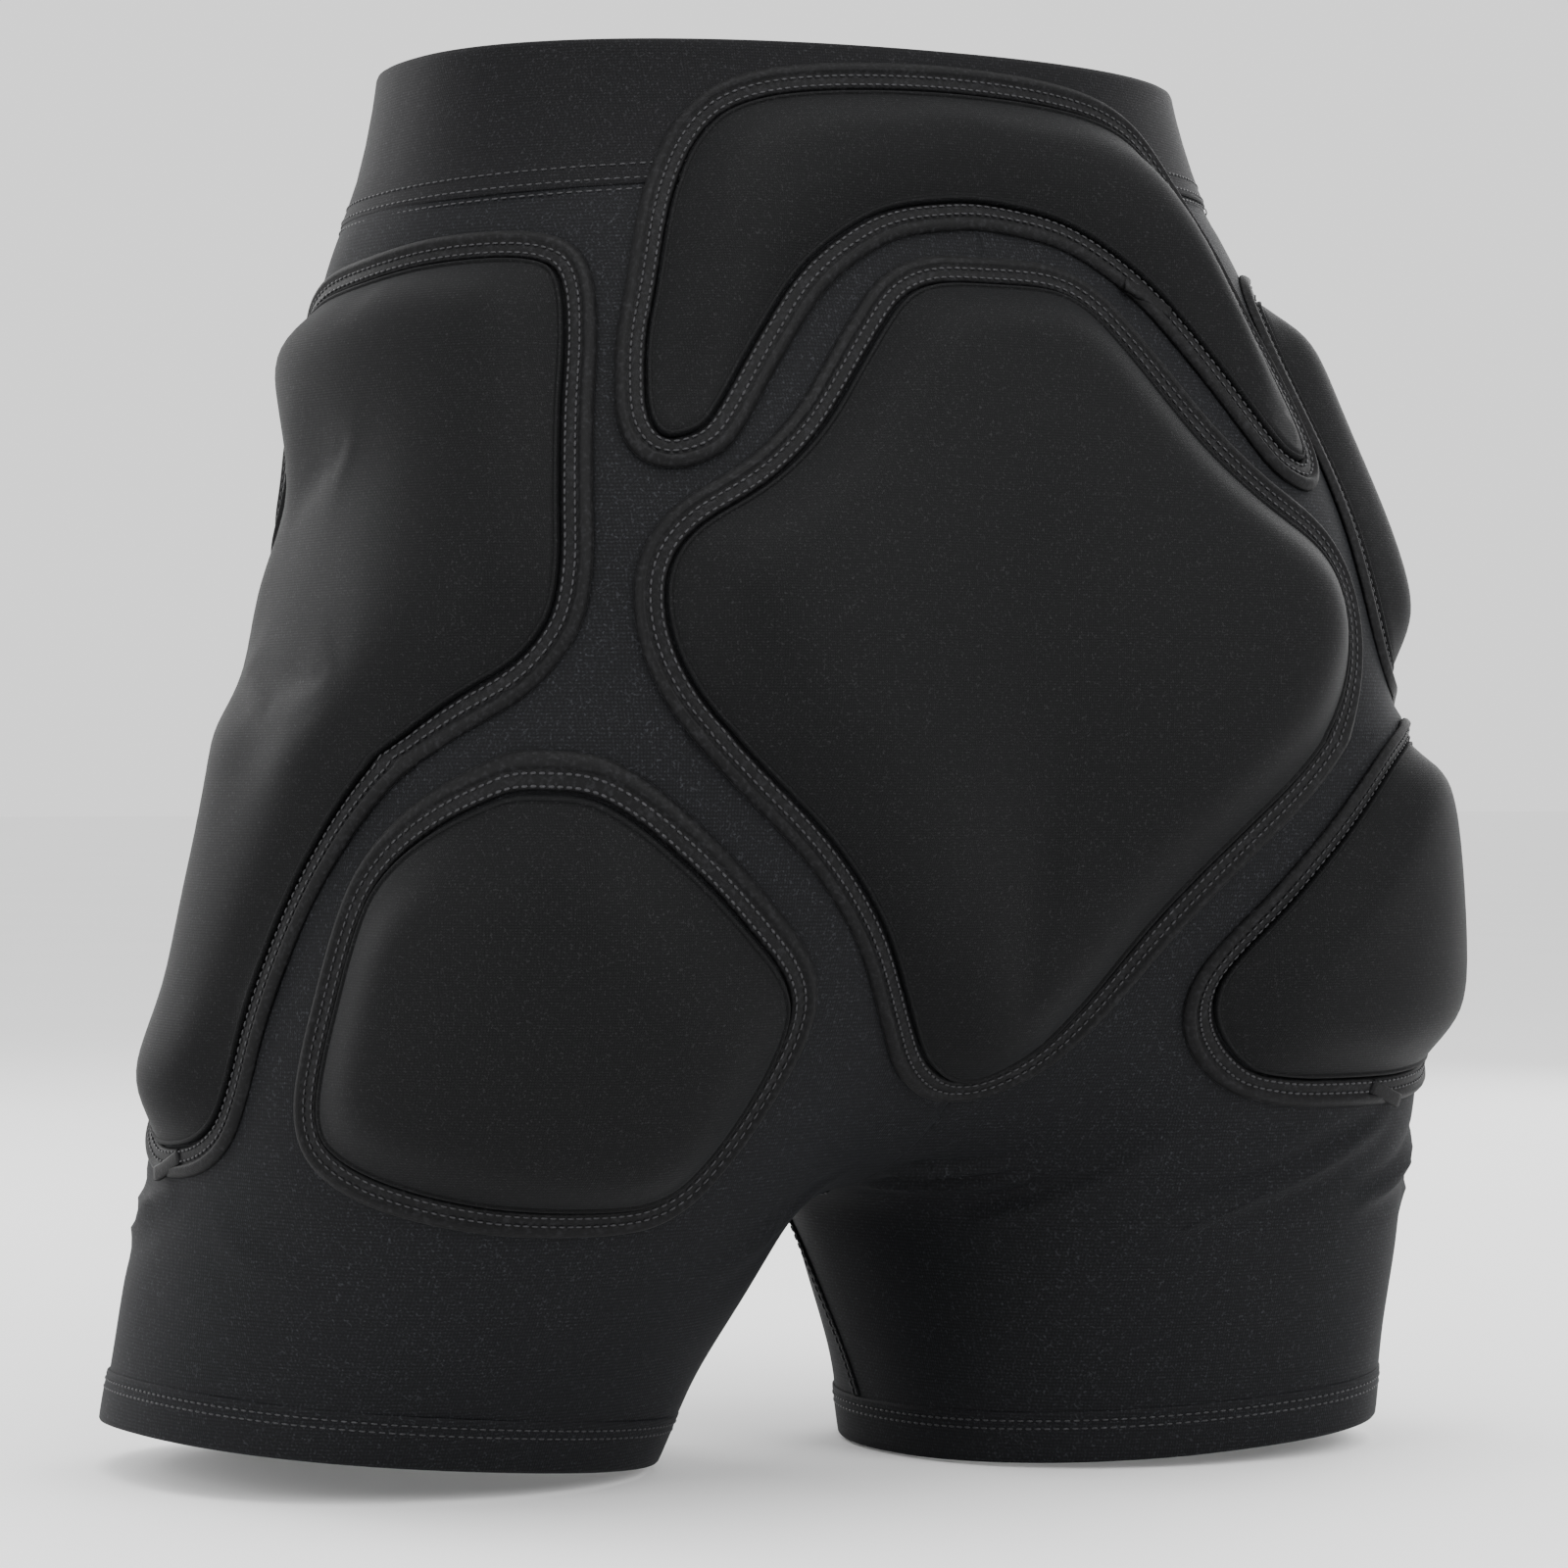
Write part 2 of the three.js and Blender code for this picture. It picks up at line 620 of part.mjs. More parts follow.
function addPad(name, kind, side, half, tips) {
  const made = ringMaker(pads[kind], outline(pads[kind], half), tips);
  const tall = padHeight[kind];
  const put = (piece, material, body) => add(name + "_" + piece, material, posed(body, side));
  const edgeIn = tapeWidth + 0.4; // outside of the cover's wall
  const coverIn = edgeIn + coverThick;
  const foamIn = coverIn + 0.5;
  const parts = [0.16, 0.42, 0.7, 1];
  const tapeTop = padGap + tapeThick;
  const section = (list) => {
    const rings = list.map(([d, h]) => made.ring(d, h));
    return loft(rings[0].map((_, i) => rings.map((r) => r[i])), true);
  };
  const stitchAt = tapeWidth - stitchIn;
  const tapeSection = [
    [0, padGap],
    ...[0, stitchAt, tapeWidth].map((d) => [d, tapeTop]),
    [tapeWidth, padGap],
  ];
  put("binding", "tape", section(tapeSection));
  const threadLow = tapeTop + 0.5;
  const threadSection = [[-0.7, 0], [0, 0.8], [0.7, 0]].map(([d, h]) => [stitchAt + d, threadLow + h]);
  put("stitching", "thread", section(threadSection));
  const outer = (d) => padGap + shoulder(d, tall);
  const inner = (d) => outer(d) - coverThick - 0.35 * (1 - smooth(d / bevel));
  const coverRings = [
    ...[...parts].reverse().map((t) => made.toSpine(coverIn, t, inner)),
    made.ring(coverIn, inner(0)),
    made.ring(coverIn, padGap),
    made.ring(edgeIn, padGap),
    made.ring(edgeIn, outer(0)),
    ...parts.map((t) => made.toSpine(edgeIn, t, outer)),
  ];
  put("cover", "cover", shrinkWrap(coverRings, parts.length));
  const fill = (d) => inner(d) - 0.6;
  const flat = () => padGap + 1.2;
  put(
    "foam",
    "foam",
    shrinkWrap([
      ...[1, 0.8, 0.6, 0.4, 0.2].map((t) => made.toSpine(coverIn, t, flat)),
      made.ring(foamIn, flat()),
      made.ring(foamIn, fill(0)),
      ...parts.map((t) => made.toSpine(coverIn, t, fill)),
    ]),
  );
}
addPad("lumbar_pad", "lumbar", 0, 22, 2);
addPad("seat_pad", "seat", 0, 20, 4);
for (const [name, side] of sides) {
  addPad(name + "_side_pad", "side", side, 20, 3);
  addPad(name + "_thigh_pad", "thigh", side, 15, 4);
}

group.position.y = backShift;

export default group;
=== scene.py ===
import json
import math

import bmesh
import bpy
import numpy as np
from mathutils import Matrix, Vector
from mathutils.geometry import delaunay_2d_cdt


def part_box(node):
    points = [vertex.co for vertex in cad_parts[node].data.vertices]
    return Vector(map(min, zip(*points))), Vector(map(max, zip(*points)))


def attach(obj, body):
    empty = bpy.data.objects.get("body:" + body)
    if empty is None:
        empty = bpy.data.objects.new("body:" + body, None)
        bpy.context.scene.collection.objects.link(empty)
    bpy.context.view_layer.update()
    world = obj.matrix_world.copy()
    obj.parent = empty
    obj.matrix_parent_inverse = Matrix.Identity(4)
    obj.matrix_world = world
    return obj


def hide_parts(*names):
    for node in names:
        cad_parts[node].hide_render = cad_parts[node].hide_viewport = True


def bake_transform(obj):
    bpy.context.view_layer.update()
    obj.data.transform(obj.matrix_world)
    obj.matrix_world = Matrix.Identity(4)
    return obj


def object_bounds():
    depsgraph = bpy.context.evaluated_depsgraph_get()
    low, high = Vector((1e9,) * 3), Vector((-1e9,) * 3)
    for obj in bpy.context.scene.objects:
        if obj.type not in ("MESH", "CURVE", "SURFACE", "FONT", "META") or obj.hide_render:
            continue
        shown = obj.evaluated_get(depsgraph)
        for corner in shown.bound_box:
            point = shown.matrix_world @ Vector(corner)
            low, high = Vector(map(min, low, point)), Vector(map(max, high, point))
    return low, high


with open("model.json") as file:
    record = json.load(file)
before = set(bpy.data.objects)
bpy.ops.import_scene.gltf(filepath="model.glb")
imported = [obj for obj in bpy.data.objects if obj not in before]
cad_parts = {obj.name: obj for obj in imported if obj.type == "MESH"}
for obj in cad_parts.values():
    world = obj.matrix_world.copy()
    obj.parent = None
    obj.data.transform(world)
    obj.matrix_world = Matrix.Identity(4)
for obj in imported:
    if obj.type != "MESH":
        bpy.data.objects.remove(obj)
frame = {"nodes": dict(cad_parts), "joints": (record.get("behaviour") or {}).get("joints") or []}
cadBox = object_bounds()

print("frame loaded:", len(frame["nodes"]), "nodes")

# The worn form, worked out in millimetres and alike on both sides; strideOf swings the legs afterwards.
# Rows of torso: height, half width, depth to the front, depth to the back.
# Rows of leg: height, centre x, centre y, reach outward, inward, to the front, to the back.
worn = {
    "torso": [
        [192, 174, 62, 130], [236, 177, 64, 140], [290, 172, 68, 140], [339, 164, 78, 133],
        [377, 153, 90, 119], [409, 139, 101, 103], [444, 131, 108, 92], [485, 131, 109, 92],
    ],
    "leg": [
        [-14, 123, -27, 85, 85, 82, 84], [29, 121, -16, 86, 92, 85, 90], [78, 118, -3, 88, 100, 85, 102],
        [127, 114, 11, 90, 101, 80, 108], [181, 107, 19, 88, 92, 75, 112], [246, 95, 22, 85, 76, 70, 108],
    ],
    "buttock": ((72, 76, 241), (92, 74, 109)),
    "cup": 192,
    "fork": 88,
    "fade": (230, 0.9),
    "roundness": 2.2,
    "softness": 11,
    "stride": 8,
    "crease": (0.76, 0.65, 72),
}


def keyed(rows, z):
    rows = np.array(rows, float)
    zs, v = rows[:, 0], rows[:, 1:]
    rise = (v[1:] - v[:-1]) / (zs[1:] - zs[:-1])[:, None]
    slopes = np.vstack([rise[:1], (rise[1:] + rise[:-1]) / 2, rise[-1:]])
    z = np.clip(z, zs[0], zs[-1])
    k = np.clip(np.searchsorted(zs, z) - 1, 0, len(zs) - 2)
    span = zs[k + 1] - zs[k]
    t = (z - zs[k]) / span
    a = 2 * t**3 - 3 * t**2 + 1
    b = (t**3 - 2 * t**2 + t) * span
    d = (t**3 - t**2) * span
    a, b, d = a[:, None], b[:, None], d[:, None]
    return (a * v[k] + b * slopes[k] + (1 - a) * v[k + 1] + d * slopes[k + 1]).T


def form(p):  # distance to the worn form, negative inside
    x, y, z = np.abs(p[:, 0]), p[:, 1], p[:, 2]
    n = worn["roundness"]
    halfWide, front, back = keyed(worn["torso"], np.maximum(z, worn["cup"]))
    cup = np.maximum((worn["cup"] - z) / (worn["cup"] - worn["fork"]), 0) ** n
    deep = np.where(y > 0, back, front)
    torso = (x / halfWide) ** n + (np.abs(y) / deep) ** n + cup
    d1 = (torso ** (1 / n) - 1) * np.minimum(halfWide, mixed(front, back, smooth((y + 45) / 90)))
    cx, cy, outer, inner, legFront, legBack = keyed(worn["leg"], z)
    wide = np.where(x > cx, outer, inner)
    thick = np.where(y > cy, legBack, legFront)
    leg = (np.abs(x - cx) / wide) ** n + (np.abs(y - cy) / thick) ** n
    start, rate = worn["fade"]
    girth = np.minimum(mixed(inner, outer, smooth((x - cx + 35) / 70)),
                       mixed(legFront, legBack, smooth((y - cy + 35) / 70)))
    d2 = (leg ** (1 / n) - 1) * girth + np.maximum(z - start, 0) * rate
    centre, radii = worn["buttock"]
    ball = np.sqrt(sum(((c - m) / r) ** 2 for c, m, r in zip((x, y, z), centre, radii)))
    d3 = (ball - 1) * radii[1]
    low = np.minimum(np.minimum(d1, d2), d3)
    s = worn["softness"]
    return low - s * np.log(sum(np.exp((low - d) / s) for d in (d1, d2, d3)))


def unit(v):
    return v / np.maximum(np.linalg.norm(v, axis=-1, keepdims=True), 1e-9)


def slopeAt(p):
    h = 0.4
    return np.stack([(form(p + h * e) - form(p - h * e)) / (2 * h) for e in np.eye(3)], axis=1)


def snap(p, rounds=6):  # onto the worn form
    q = np.array(p, float)
    for _ in range(rounds):
        g = slopeAt(q)
        q -= g * (form(q) / np.maximum((g**2).sum(1), 0.05))[:, None]
    return q


def raised(p, h, level=False):  # above the worn form; level stays in its own horizontal plane
    n = slopeAt(p)
    if level:
        n[:, 2] = 0
    return p + unit(n) * np.reshape(h, (-1, 1))


def leave(start, way):  # where a ray that starts inside comes out
    r = np.zeros(len(start))
    for _ in range(70):
        f = form(start + way * r[:, None])
        r += np.where(f < -0.005, np.maximum(-f * 0.62, 0.004), 0)
    return start + way * r[:, None]


def outward(angle):  # angle from straight back, towards the side
    a = np.radians(angle)
    return np.stack([np.sin(a), np.cos(a), np.zeros_like(a)], axis=1)


def onTorso(angle, z):
    angle, z = np.broadcast_arrays(np.atleast_1d(np.asarray(angle, float)), np.asarray(z, float))
    return leave(np.stack([0 * z, 0 * z, z], axis=1), outward(angle))


def onLeg(angle, z):
    angle, z = np.broadcast_arrays(np.atleast_1d(np.asarray(angle, float)), np.asarray(z, float))
    cx, cy = keyed(worn["leg"], z)[:2]
    return leave(np.stack([cx, cy, z], axis=1), outward(angle))


def legAngle(p):
    cx, cy = keyed(worn["leg"], p[:, 2])[:2]
    return np.degrees(np.arctan2(p[:, 0] - cx, p[:, 1] - cy))


def smooth(t):
    t = np.clip(t, 0, 1)
    return t * t * (3 - 2 * t)


def mixed(a, b, t):
    return a + (b - a) * t


rimHeight = cadBox[1].z * 1000
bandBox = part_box("waistband_sheath")
backShift = bandBox[0].y * 1000 - onTorso(180, rimHeight)[0, 1]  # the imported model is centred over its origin
hipPlace = frame["joints"][0]["pos_m"]
hipY = hipPlace[1] * 1000 - backShift
hipZ = hipPlace[2] * 1000
print("back shift", round(backShift, 2), "hip", round(hipY, 2), round(hipZ, 2))


def strideOf(p, side):  # side 1 is the wearer's left, -1 the right, 0 each point's own half
    own = np.where(p[:, 0] < 0, -1, 1) if side == 0 else np.full(len(p), side)
    wide = np.abs(p[:, 0]) if side == 0 else p[:, 0]
    across, up, width = worn["crease"]
    past = across * np.abs(p[:, 0]) - up * (p[:, 2] - worn["fork"])
    turn = own * math.radians(worn["stride"]) * smooth(past / width)
    y, z = p[:, 1] - hipY, p[:, 2] - hipZ
    c, s = np.cos(turn), np.sin(turn)
    return np.stack([own * wide, hipY + y * c + z * s, hipZ - y * s + z * c], axis=1)


def inMetres(p, side):
    return (strideOf(p, side) + np.array([0, backShift, 0])) / 1000


# Meshes.
def gridFaces(rows, columns, around=False):
    last = columns if around else columns - 1
    faces = []
    for i in range(rows - 1):
        for j in range(last):
            k = (j + 1) % columns
            faces.append((i * columns + j, i * columns + k, (i + 1) * columns + k, (i + 1) * columns + j))
    return faces


def tubeFaces(rings, section):  # a closed section carried round a closed path
    last = (rings - 1) * section
    ends = [(last + j, last + (j + 1) % section, (j + 1) % section, j) for j in range(section)]
    return gridFaces(rings, section, around=True) + ends


def weld(points, faces):  # points that lie together become one
    key = np.round(points / 0.004).astype(np.int64)
    _, first, index = np.unique(key, axis=0, return_index=True, return_inverse=True)
    index = index.ravel().tolist()
    merged = [tuple(dict.fromkeys(index[i] for i in f)) for f in faces]
    return points[first], [f for f in merged if len(f) > 2]


def closed(outer, inner, faces):  # two skins and the walls between their open edges
    n = len(outer)
    edges = {(a, b) for f in faces for a, b in zip(f, f[1:] + f[:1])}
    walls = [(b, a, a + n, b + n) for a, b in sorted(edges) if (b, a) not in edges]
    return np.vstack([outer, inner]), faces + [tuple(i + n for i in reversed(f)) for f in faces] + walls


def makePiece(name, points, faces, side, material, slotName):
    mesh = bpy.data.meshes.new(name)
    mesh.from_pydata(inMetres(points, side).tolist(), [], faces)
    shape = bmesh.new()
    shape.from_mesh(mesh)
    bmesh.ops.recalc_face_normals(shape, faces=shape.faces)
    shape.to_mesh(mesh)
    shape.free()
    mesh.polygons.foreach_set("use_smooth", [True] * len(mesh.polygons))
    mesh.materials.append(material)
    piece = bpy.data.objects.new(name, mesh)
    bpy.context.scene.collection.objects.link(piece)
    return piece


def follow(piece, side):  # a middle piece is attached to the seat; a piece of one side only has its transform baked in
    if side == 0:
        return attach(piece, "seat")
    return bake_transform(piece)


sides = [("left", 1), ("right", -1)]


# Materials.
class Value:  # a socket that Python's operators work on
    def __init__(self, shade, socket):
        self.shade = shade
        self.socket = socket

    def maths(self, operation, *others):
        return self.shade.add("ShaderNodeMath", {"operation": operation}, dict(enumerate((self, *others))))

    def __add__(self, other):
        return self.maths("ADD", other)

    def __mul__(self, other):
        return self.maths("MULTIPLY", other)

    def __sub__(self, other):
        return self.maths("SUBTRACT", other)

    def __rsub__(self, other):
        return self.shade.add("ShaderNodeMath", {"operation": "SUBTRACT"}, {0: other, 1: self})

    def __abs__(self):
        return self.maths("ABSOLUTE")

    __radd__ = __add__
    __rmul__ = __mul__


class Shade:  # one material and its nodes
    def __init__(self, name):
        self.material = bpy.data.materials.new(name)
        self.material.use_nodes = True
        self.tree = self.material.node_tree
        self.tree.nodes.clear()

    def add(self, kind, settings, sockets, out=0):
        node = self.tree.nodes.new(kind)
        for key, value in settings.items():
            setattr(node, key, value)
        for key, value in sockets.items():
            if isinstance(value, Value):
                self.tree.links.new(value.socket, node.inputs[key])
            else:
                node.inputs[key].default_value = value
        return Value(self, node.outputs[out])

    def blendOf(self, factor, a, b):
        return self.add("ShaderNodeMix", {"data_type": "RGBA"}, {0: factor, 6: a, 7: b}, out=2)

    def finish(self, sockets):
        surface = self.add("ShaderNodeBsdfPrincipled", {}, sockets)
        output = self.tree.nodes.new("ShaderNodeOutputMaterial")
        self.tree.links.new(surface.socket, output.inputs["Surface"])
        return self.material


def rgba(colour, gain=1.0):
    return (colour[0] * gain, colour[1] * gain, colour[2] * gain, 1.0)


# Knit cloth: fine ribs across, wales down, a scatter of lighter fibres and slow changes of dye.
def knitCloth(name, look):
    shade = Shade(name)
    place = shade.add("ShaderNodeTexCoord", {}, {}, out=3)
    facing = shade.add("ShaderNodeNewGeometry", {}, {}, out=1)
    side = abs(shade.add("ShaderNodeSeparateXYZ", {}, {0: facing}, out=0))
    bands = {"wave_type": "BANDS", "wave_profile": "SIN"}
    perMetre = 2 * math.pi / 20
    courses = shade.add("ShaderNodeTexWave", {**bands, "bands_direction": "Z"},
                        {"Vector": place, "Scale": perMetre / look["course"], "Distortion": 0.6,
                         "Detail": 1.0}, out=1)
    walesX = shade.add("ShaderNodeTexWave", {**bands, "bands_direction": "X"},
                       {"Vector": place, "Scale": perMetre / look["wale"], "Distortion": 0.5}, out=1)
    walesY = shade.add("ShaderNodeTexWave", {**bands, "bands_direction": "Y"},
                       {"Vector": place, "Scale": perMetre / look["wale"], "Distortion": 0.5}, out=1)
    across = side * side
    wales = walesY * across + walesX * (1 - across)
    weave = courses * wales
    fibre = shade.add("ShaderNodeTexNoise", {}, {"Vector": place, "Scale": look["fibre"], "Detail": 2.0})
    dye = shade.add("ShaderNodeTexNoise", {}, {"Vector": place, "Scale": 14.0, "Detail": 4.0})
    specks = shade.add("ShaderNodeMapRange", {}, {"Value": fibre, "From Min": 0.57, "From Max": 0.75})
    tone = shade.add("ShaderNodeMapRange", {}, {"Value": dye, "From Min": 0.3, "From Max": 0.7})
    base = shade.blendOf(tone, rgba(look["colour"], 0.88), rgba(look["colour"], 1.12))
    woven = shade.blendOf(weave * look["weave"], base, rgba(look["light"], 1.0))
    colour = shade.blendOf(specks * look["specks"], woven, rgba(look["light"], 1.5))
    rough = look["rough"] + tone * 0.06 - specks * 0.08
    height = weave * 0.6 + fibre * 0.5
    bump = shade.add("ShaderNodeBump", {}, {"Strength": look["bump"], "Distance": 0.0004, "Height": height})
    return shade.finish({
        "Base Color": colour, "Roughness": rough, "Normal": bump, "Specular IOR Level": look["gloss"],
        "Sheen Weight": look["sheen"], "Sheen Roughness": 0.5, "Sheen Tint": rgba(look["sheenTint"]),
    })


# Folded tape and thread: a fine rib that runs with the object and a dusty lighter tooth.
def tapeCloth(name, look):
    shade = Shade(name)
    place = shade.add("ShaderNodeTexCoord", {}, {}, out=3)
    tooth = shade.add("ShaderNodeTexVoronoi", {}, {"Vector": place, "Scale": look["tooth"]})
    coarse = look["tooth"] * 0.45
    fuzz = shade.add("ShaderNodeTexNoise", {}, {"Vector": place, "Scale": coarse, "Detail": 3.0})
    dye = shade.add("ShaderNodeTexNoise", {}, {"Vector": place, "Scale": 30.0, "Detail": 3.0})
    dusty = shade.add("ShaderNodeMapRange", {}, {"Value": fuzz, "From Min": 0.5, "From Max": 0.72})
    tone = shade.add("ShaderNodeMapRange", {}, {"Value": dye, "From Min": 0.3, "From Max": 0.7})
    base = shade.blendOf(tone, rgba(look["colour"], 0.85), rgba(look["colour"], 1.15))
    colour = shade.blendOf(dusty * look["specks"], base, rgba(look["light"]))
    height = (1 - tooth) * 0.7 + fuzz * 0.4
    bump = shade.add("ShaderNodeBump", {}, {"Strength": look["bump"], "Distance": 0.0003, "Height": height})
    return shade.finish({
        "Base Color": colour, "Roughness": look["rough"] + tone * 0.08, "Normal": bump,
        "Specular IOR Level": look["gloss"], "Sheen Weight": look["sheen"], "Sheen Roughness": 0.4,
    })


finishes = {
    "shell": {"colour": (0.0036, 0.0037, 0.0042), "light": (0.021, 0.022, 0.025), "course": 0.0011,
              "wale": 0.0009, "fibre": 1150.0, "weave": 0.25, "specks": 0.5, "rough": 0.66, "bump": 0.3,
              "gloss": 0.075, "sheen": 0.010, "sheenTint": (0.75, 0.8, 0.9)},
    "band": {"colour": (0.0029, 0.0029, 0.0033), "light": (0.018, 0.018, 0.020), "course": 0.0009,
             "wale": 0.0008, "fibre": 1300.0, "weave": 0.22, "specks": 0.45, "rough": 0.64, "bump": 0.26,
             "gloss": 0.075, "sheen": 0.010, "sheenTint": (0.8, 0.82, 0.9)},
    "cover": {"colour": (0.0022, 0.0023, 0.0025), "light": (0.016, 0.016, 0.017), "course": 0.0008,
              "wale": 0.0007, "fibre": 1400.0, "weave": 0.2, "specks": 0.4, "rough": 0.6, "bump": 0.24,
              "gloss": 0.075, "sheen": 0.009, "sheenTint": (0.85, 0.88, 0.95)},
}
shellKnit = knitCloth("shell knit", finishes["shell"])
bandKnit = knitCloth("waistband knit", finishes["band"])
coverKnit = knitCloth("pad cover knit", finishes["cover"])
bindingTape = tapeCloth("binding tape", {
    "colour": (0.0022, 0.0022, 0.0025), "light": (0.018, 0.018, 0.020), "tooth": 1500.0, "specks": 0.4,
    "rough": 0.55, "bump": 0.3, "gloss": 0.11, "sheen": 0.012})
sewingThread = tapeCloth("sewing thread", {
    "colour": (0.014, 0.014, 0.0155), "light": (0.045, 0.045, 0.05), "tooth": 2600.0, "specks": 0.5,
    "rough": 0.5, "bump": 0.2, "gloss": 0.25, "sheen": 0.03})
print("materials made")


# Stitches and strips.
def evenly(path, pitch, around):  # points and directions at even distances along a path
    line = np.vstack([path, path[:1]]) if around else path
    step = np.linalg.norm(np.diff(line, axis=0), axis=1)
    run = np.concatenate([[0], np.cumsum(step)])
    count = max(int(run[-1] / pitch), 3)
    at = (np.arange(count) + 0.5) * run[-1] / count
    points = np.stack([np.interp(at, run, line[:, c]) for c in range(3)], axis=1)
    k = np.clip(np.searchsorted(run, at) - 1, 0, len(step) - 1)
    return points, unit(line[k + 1] - line[k])


def stitchBeads(path, around, look):  # short plump stitches lying along a path on the cloth
    points, along = evenly(path, look["pitch"], around)
    up = unit(slopeAt(points))
    aside = unit(np.cross(along, up))
    up = np.cross(aside, along)
    stations = [(-0.5, 0.25), (-0.34, 0.85), (0.0, 1.0), (0.34, 0.85), (0.5, 0.25)]
    turns = np.arange(6) * math.pi / 3
    rings = []
    for s, r in stations:
        for a in turns:
            rings.append(points + along * (s * look["length"]) + aside * (math.cos(a) * r * look["wide"] / 2)
                         + up * (math.sin(a) * r * look["tall"] / 2))
    verts = np.stack(rings, axis=1).reshape(-1, 3)
    each = len(stations) * 6
    one = gridFaces(len(stations), 6, around=True) + [tuple(range(5, -1, -1)), tuple(range(each - 6, each))]
    return verts, [tuple(i + k * each for i in f) for k in range(len(points)) for f in one]


def together(parts):
    verts, faces, start = [], [], 0
    for v, f in parts:
        verts.append(v)
        faces += [tuple(i + start for i in face) for face in f]
        start += len(v)
    return np.vstack(verts), faces


def strip(path, section):  # sweeps a section, of distance aside and height, along a path
    along = np.roll(path, -1, axis=0) - np.roll(path, 1, axis=0)
    along[0] = path[1] - path[0]
    along[-1] = path[-1] - path[-2]
    up = unit(slopeAt(path))
    aside = unit(np.cross(unit(along), up))
    rows = [path + aside * d + up * h for d, h in section]
    verts = np.stack(rows, axis=1).reshape(-1, 3)
    n = len(section)
    caps = [tuple(range(n - 1, -1, -1)), tuple(range(len(verts) - n, len(verts)))]
    return verts, gridFaces(len(path), n, around=True) + caps


# Shell. Folds: which leg, start and end as angle and height, width, height of the ridge.
shell = {
    "across": 150, "inside": 56, "above": 62, "below": 84, "thick": 1.3, "top": 412, "seam": 110,
    "hemTilt": {1: 16, -1: 9},
    "folds": [
        ("right", (24, 95), (-38, 57), 3.2, 3.2), ("right", (54, 96), (16, 69), 3.2, 3.0),
        ("right", (68, 96), (44, 70), 3.0, 2.7), ("right", (-22, 93), (-56, 75), 4.4, 3.0),
        ("right", (-84, 103), (-42, 95), 3.4, 3.5), ("right", (-76, 92), (-34, 91), 3.0, 2.4),
        ("right", (4, 88), (-24, 84), 5, 1.5), ("right", (96, 27), (70, 23), 6, 2.7),
        ("right", (100, 84), (76, 62), 4, 2.2), ("right", (128, 80), (104, 66), 4, 1.9),
        ("left", (124, 80), (88, 92), 3.4, 2.2), ("left", (126, 69), (98, 84), 3.6, 1.8),
        ("left", (-58, 96), (-26, 80), 4.4, 1.4), ("left", (72, 86), (46, 80), 5, 0.9),
        ("left", (150, 88), (128, 74), 4, 1.4), ("left", (-92, 84), (-60, 74), 4, 1.2),
    ],
}


def creaseHeight(x):
    across, up, width = worn["crease"]
    return worn["fork"] + (across * x - 0.1 * width) / up


def creasePoints(angle):
    z = np.full(len(angle), float(shell["seam"]))
    p = onTorso(angle, z)
    for _ in range(26):
        z += (np.maximum(creaseHeight(p[:, 0]), shell["seam"]) - z) * 0.5
        p = onTorso(angle, z)
    return p


def underFork(t):  # the centre line under the fork, from the front to the back
    level = shell["seam"]
    ends = leave(np.array([[0, 0, level]] * 2, float), np.array([[0, -1, 0], [0, 1, 0]], float))
    hub = np.array([0, 0, level + 40.0])
    a, b = [math.atan2(p[1] - hub[1], hub[2] - p[2]) for p in ends]
    turn = a + (b - a) * np.asarray(t, float)
    way = np.stack([0 * turn, np.sin(turn), -np.cos(turn)], axis=1)
    return leave(np.repeat(hub[None], len(turn), axis=0), way)


def hemLevel(angle, side):  # the hem rises a little on the outside of the leg
    return shell["hemTilt"][side] * (0.5 + 0.5 * np.sin(np.radians(angle)))


def hemPoint(angle, z, side, h=0.0):  # a hem point at a height measured after the stride
    rest = np.array(z, float) * np.ones(len(angle))
    p = onLeg(angle, rest)
    for _ in range(10):
        rest += z - strideOf(raised(p, h, True), side)[:, 2]
        p = onLeg(angle, rest)
    return raised(p, h, True)


def foldsOf(p, name):  # height that the folds add to the cloth
    rise = np.zeros(len(p))
    for side, start, end, wide, tall in shell["folds"]:
        if side != name:
            continue
        t = np.linspace(0, 1, 60)
        bow = 3.5 * np.sin(math.pi * t)
        line = onLeg(mixed(start[0], end[0], t), mixed(start[1], end[1], t) - bow)
        close = np.flatnonzero(np.abs(p[:, 2] - line[:, 2].mean()) < 45)
        gap = np.linalg.norm(p[close, None] - line[None], axis=2)
        near = gap.argmin(axis=1)
        d = gap.min(axis=1) / wide * np.sign(p[close, 2] - line[near, 2])
        taper = np.sin(math.pi * np.clip(t[near], 0, 1)) ** 0.7
        hollow = 0.55 * np.exp(-(((d - 1.5) / 1.1) ** 2)) + 0.25 * np.exp(-(((d + 2.2) / 1.6) ** 2))
        rise[close] += tall * taper * (np.exp(-np.abs(d) ** 1.7) - hollow)
    return rise


def relaxed(p):  # slow unevenness of cloth that is worn
    x, y, z = p.T / 1000
    broad = np.sin(41 * x + 29 * z) * np.sin(37 * y - 23 * z + 1.3)
    return 0.35 * broad + 0.2 * np.sin(90 * z + 60 * y) * np.sin(75 * x)


def legTops():
    angles = np.linspace(180, 0, shell["across"] + 1)
    crease = creasePoints(angles)
    fork = underFork(1 - np.arange(1, shell["inside"]) / shell["inside"])
    tops = np.vstack([crease, fork])
    tops[:, 0] = np.maximum(tops[:, 0], 0)
    tops[[0, shell["across"]], 0] = 0
    return angles, crease, tops


angles, crease, tops = legTops()
topAngles = legAngle(tops)


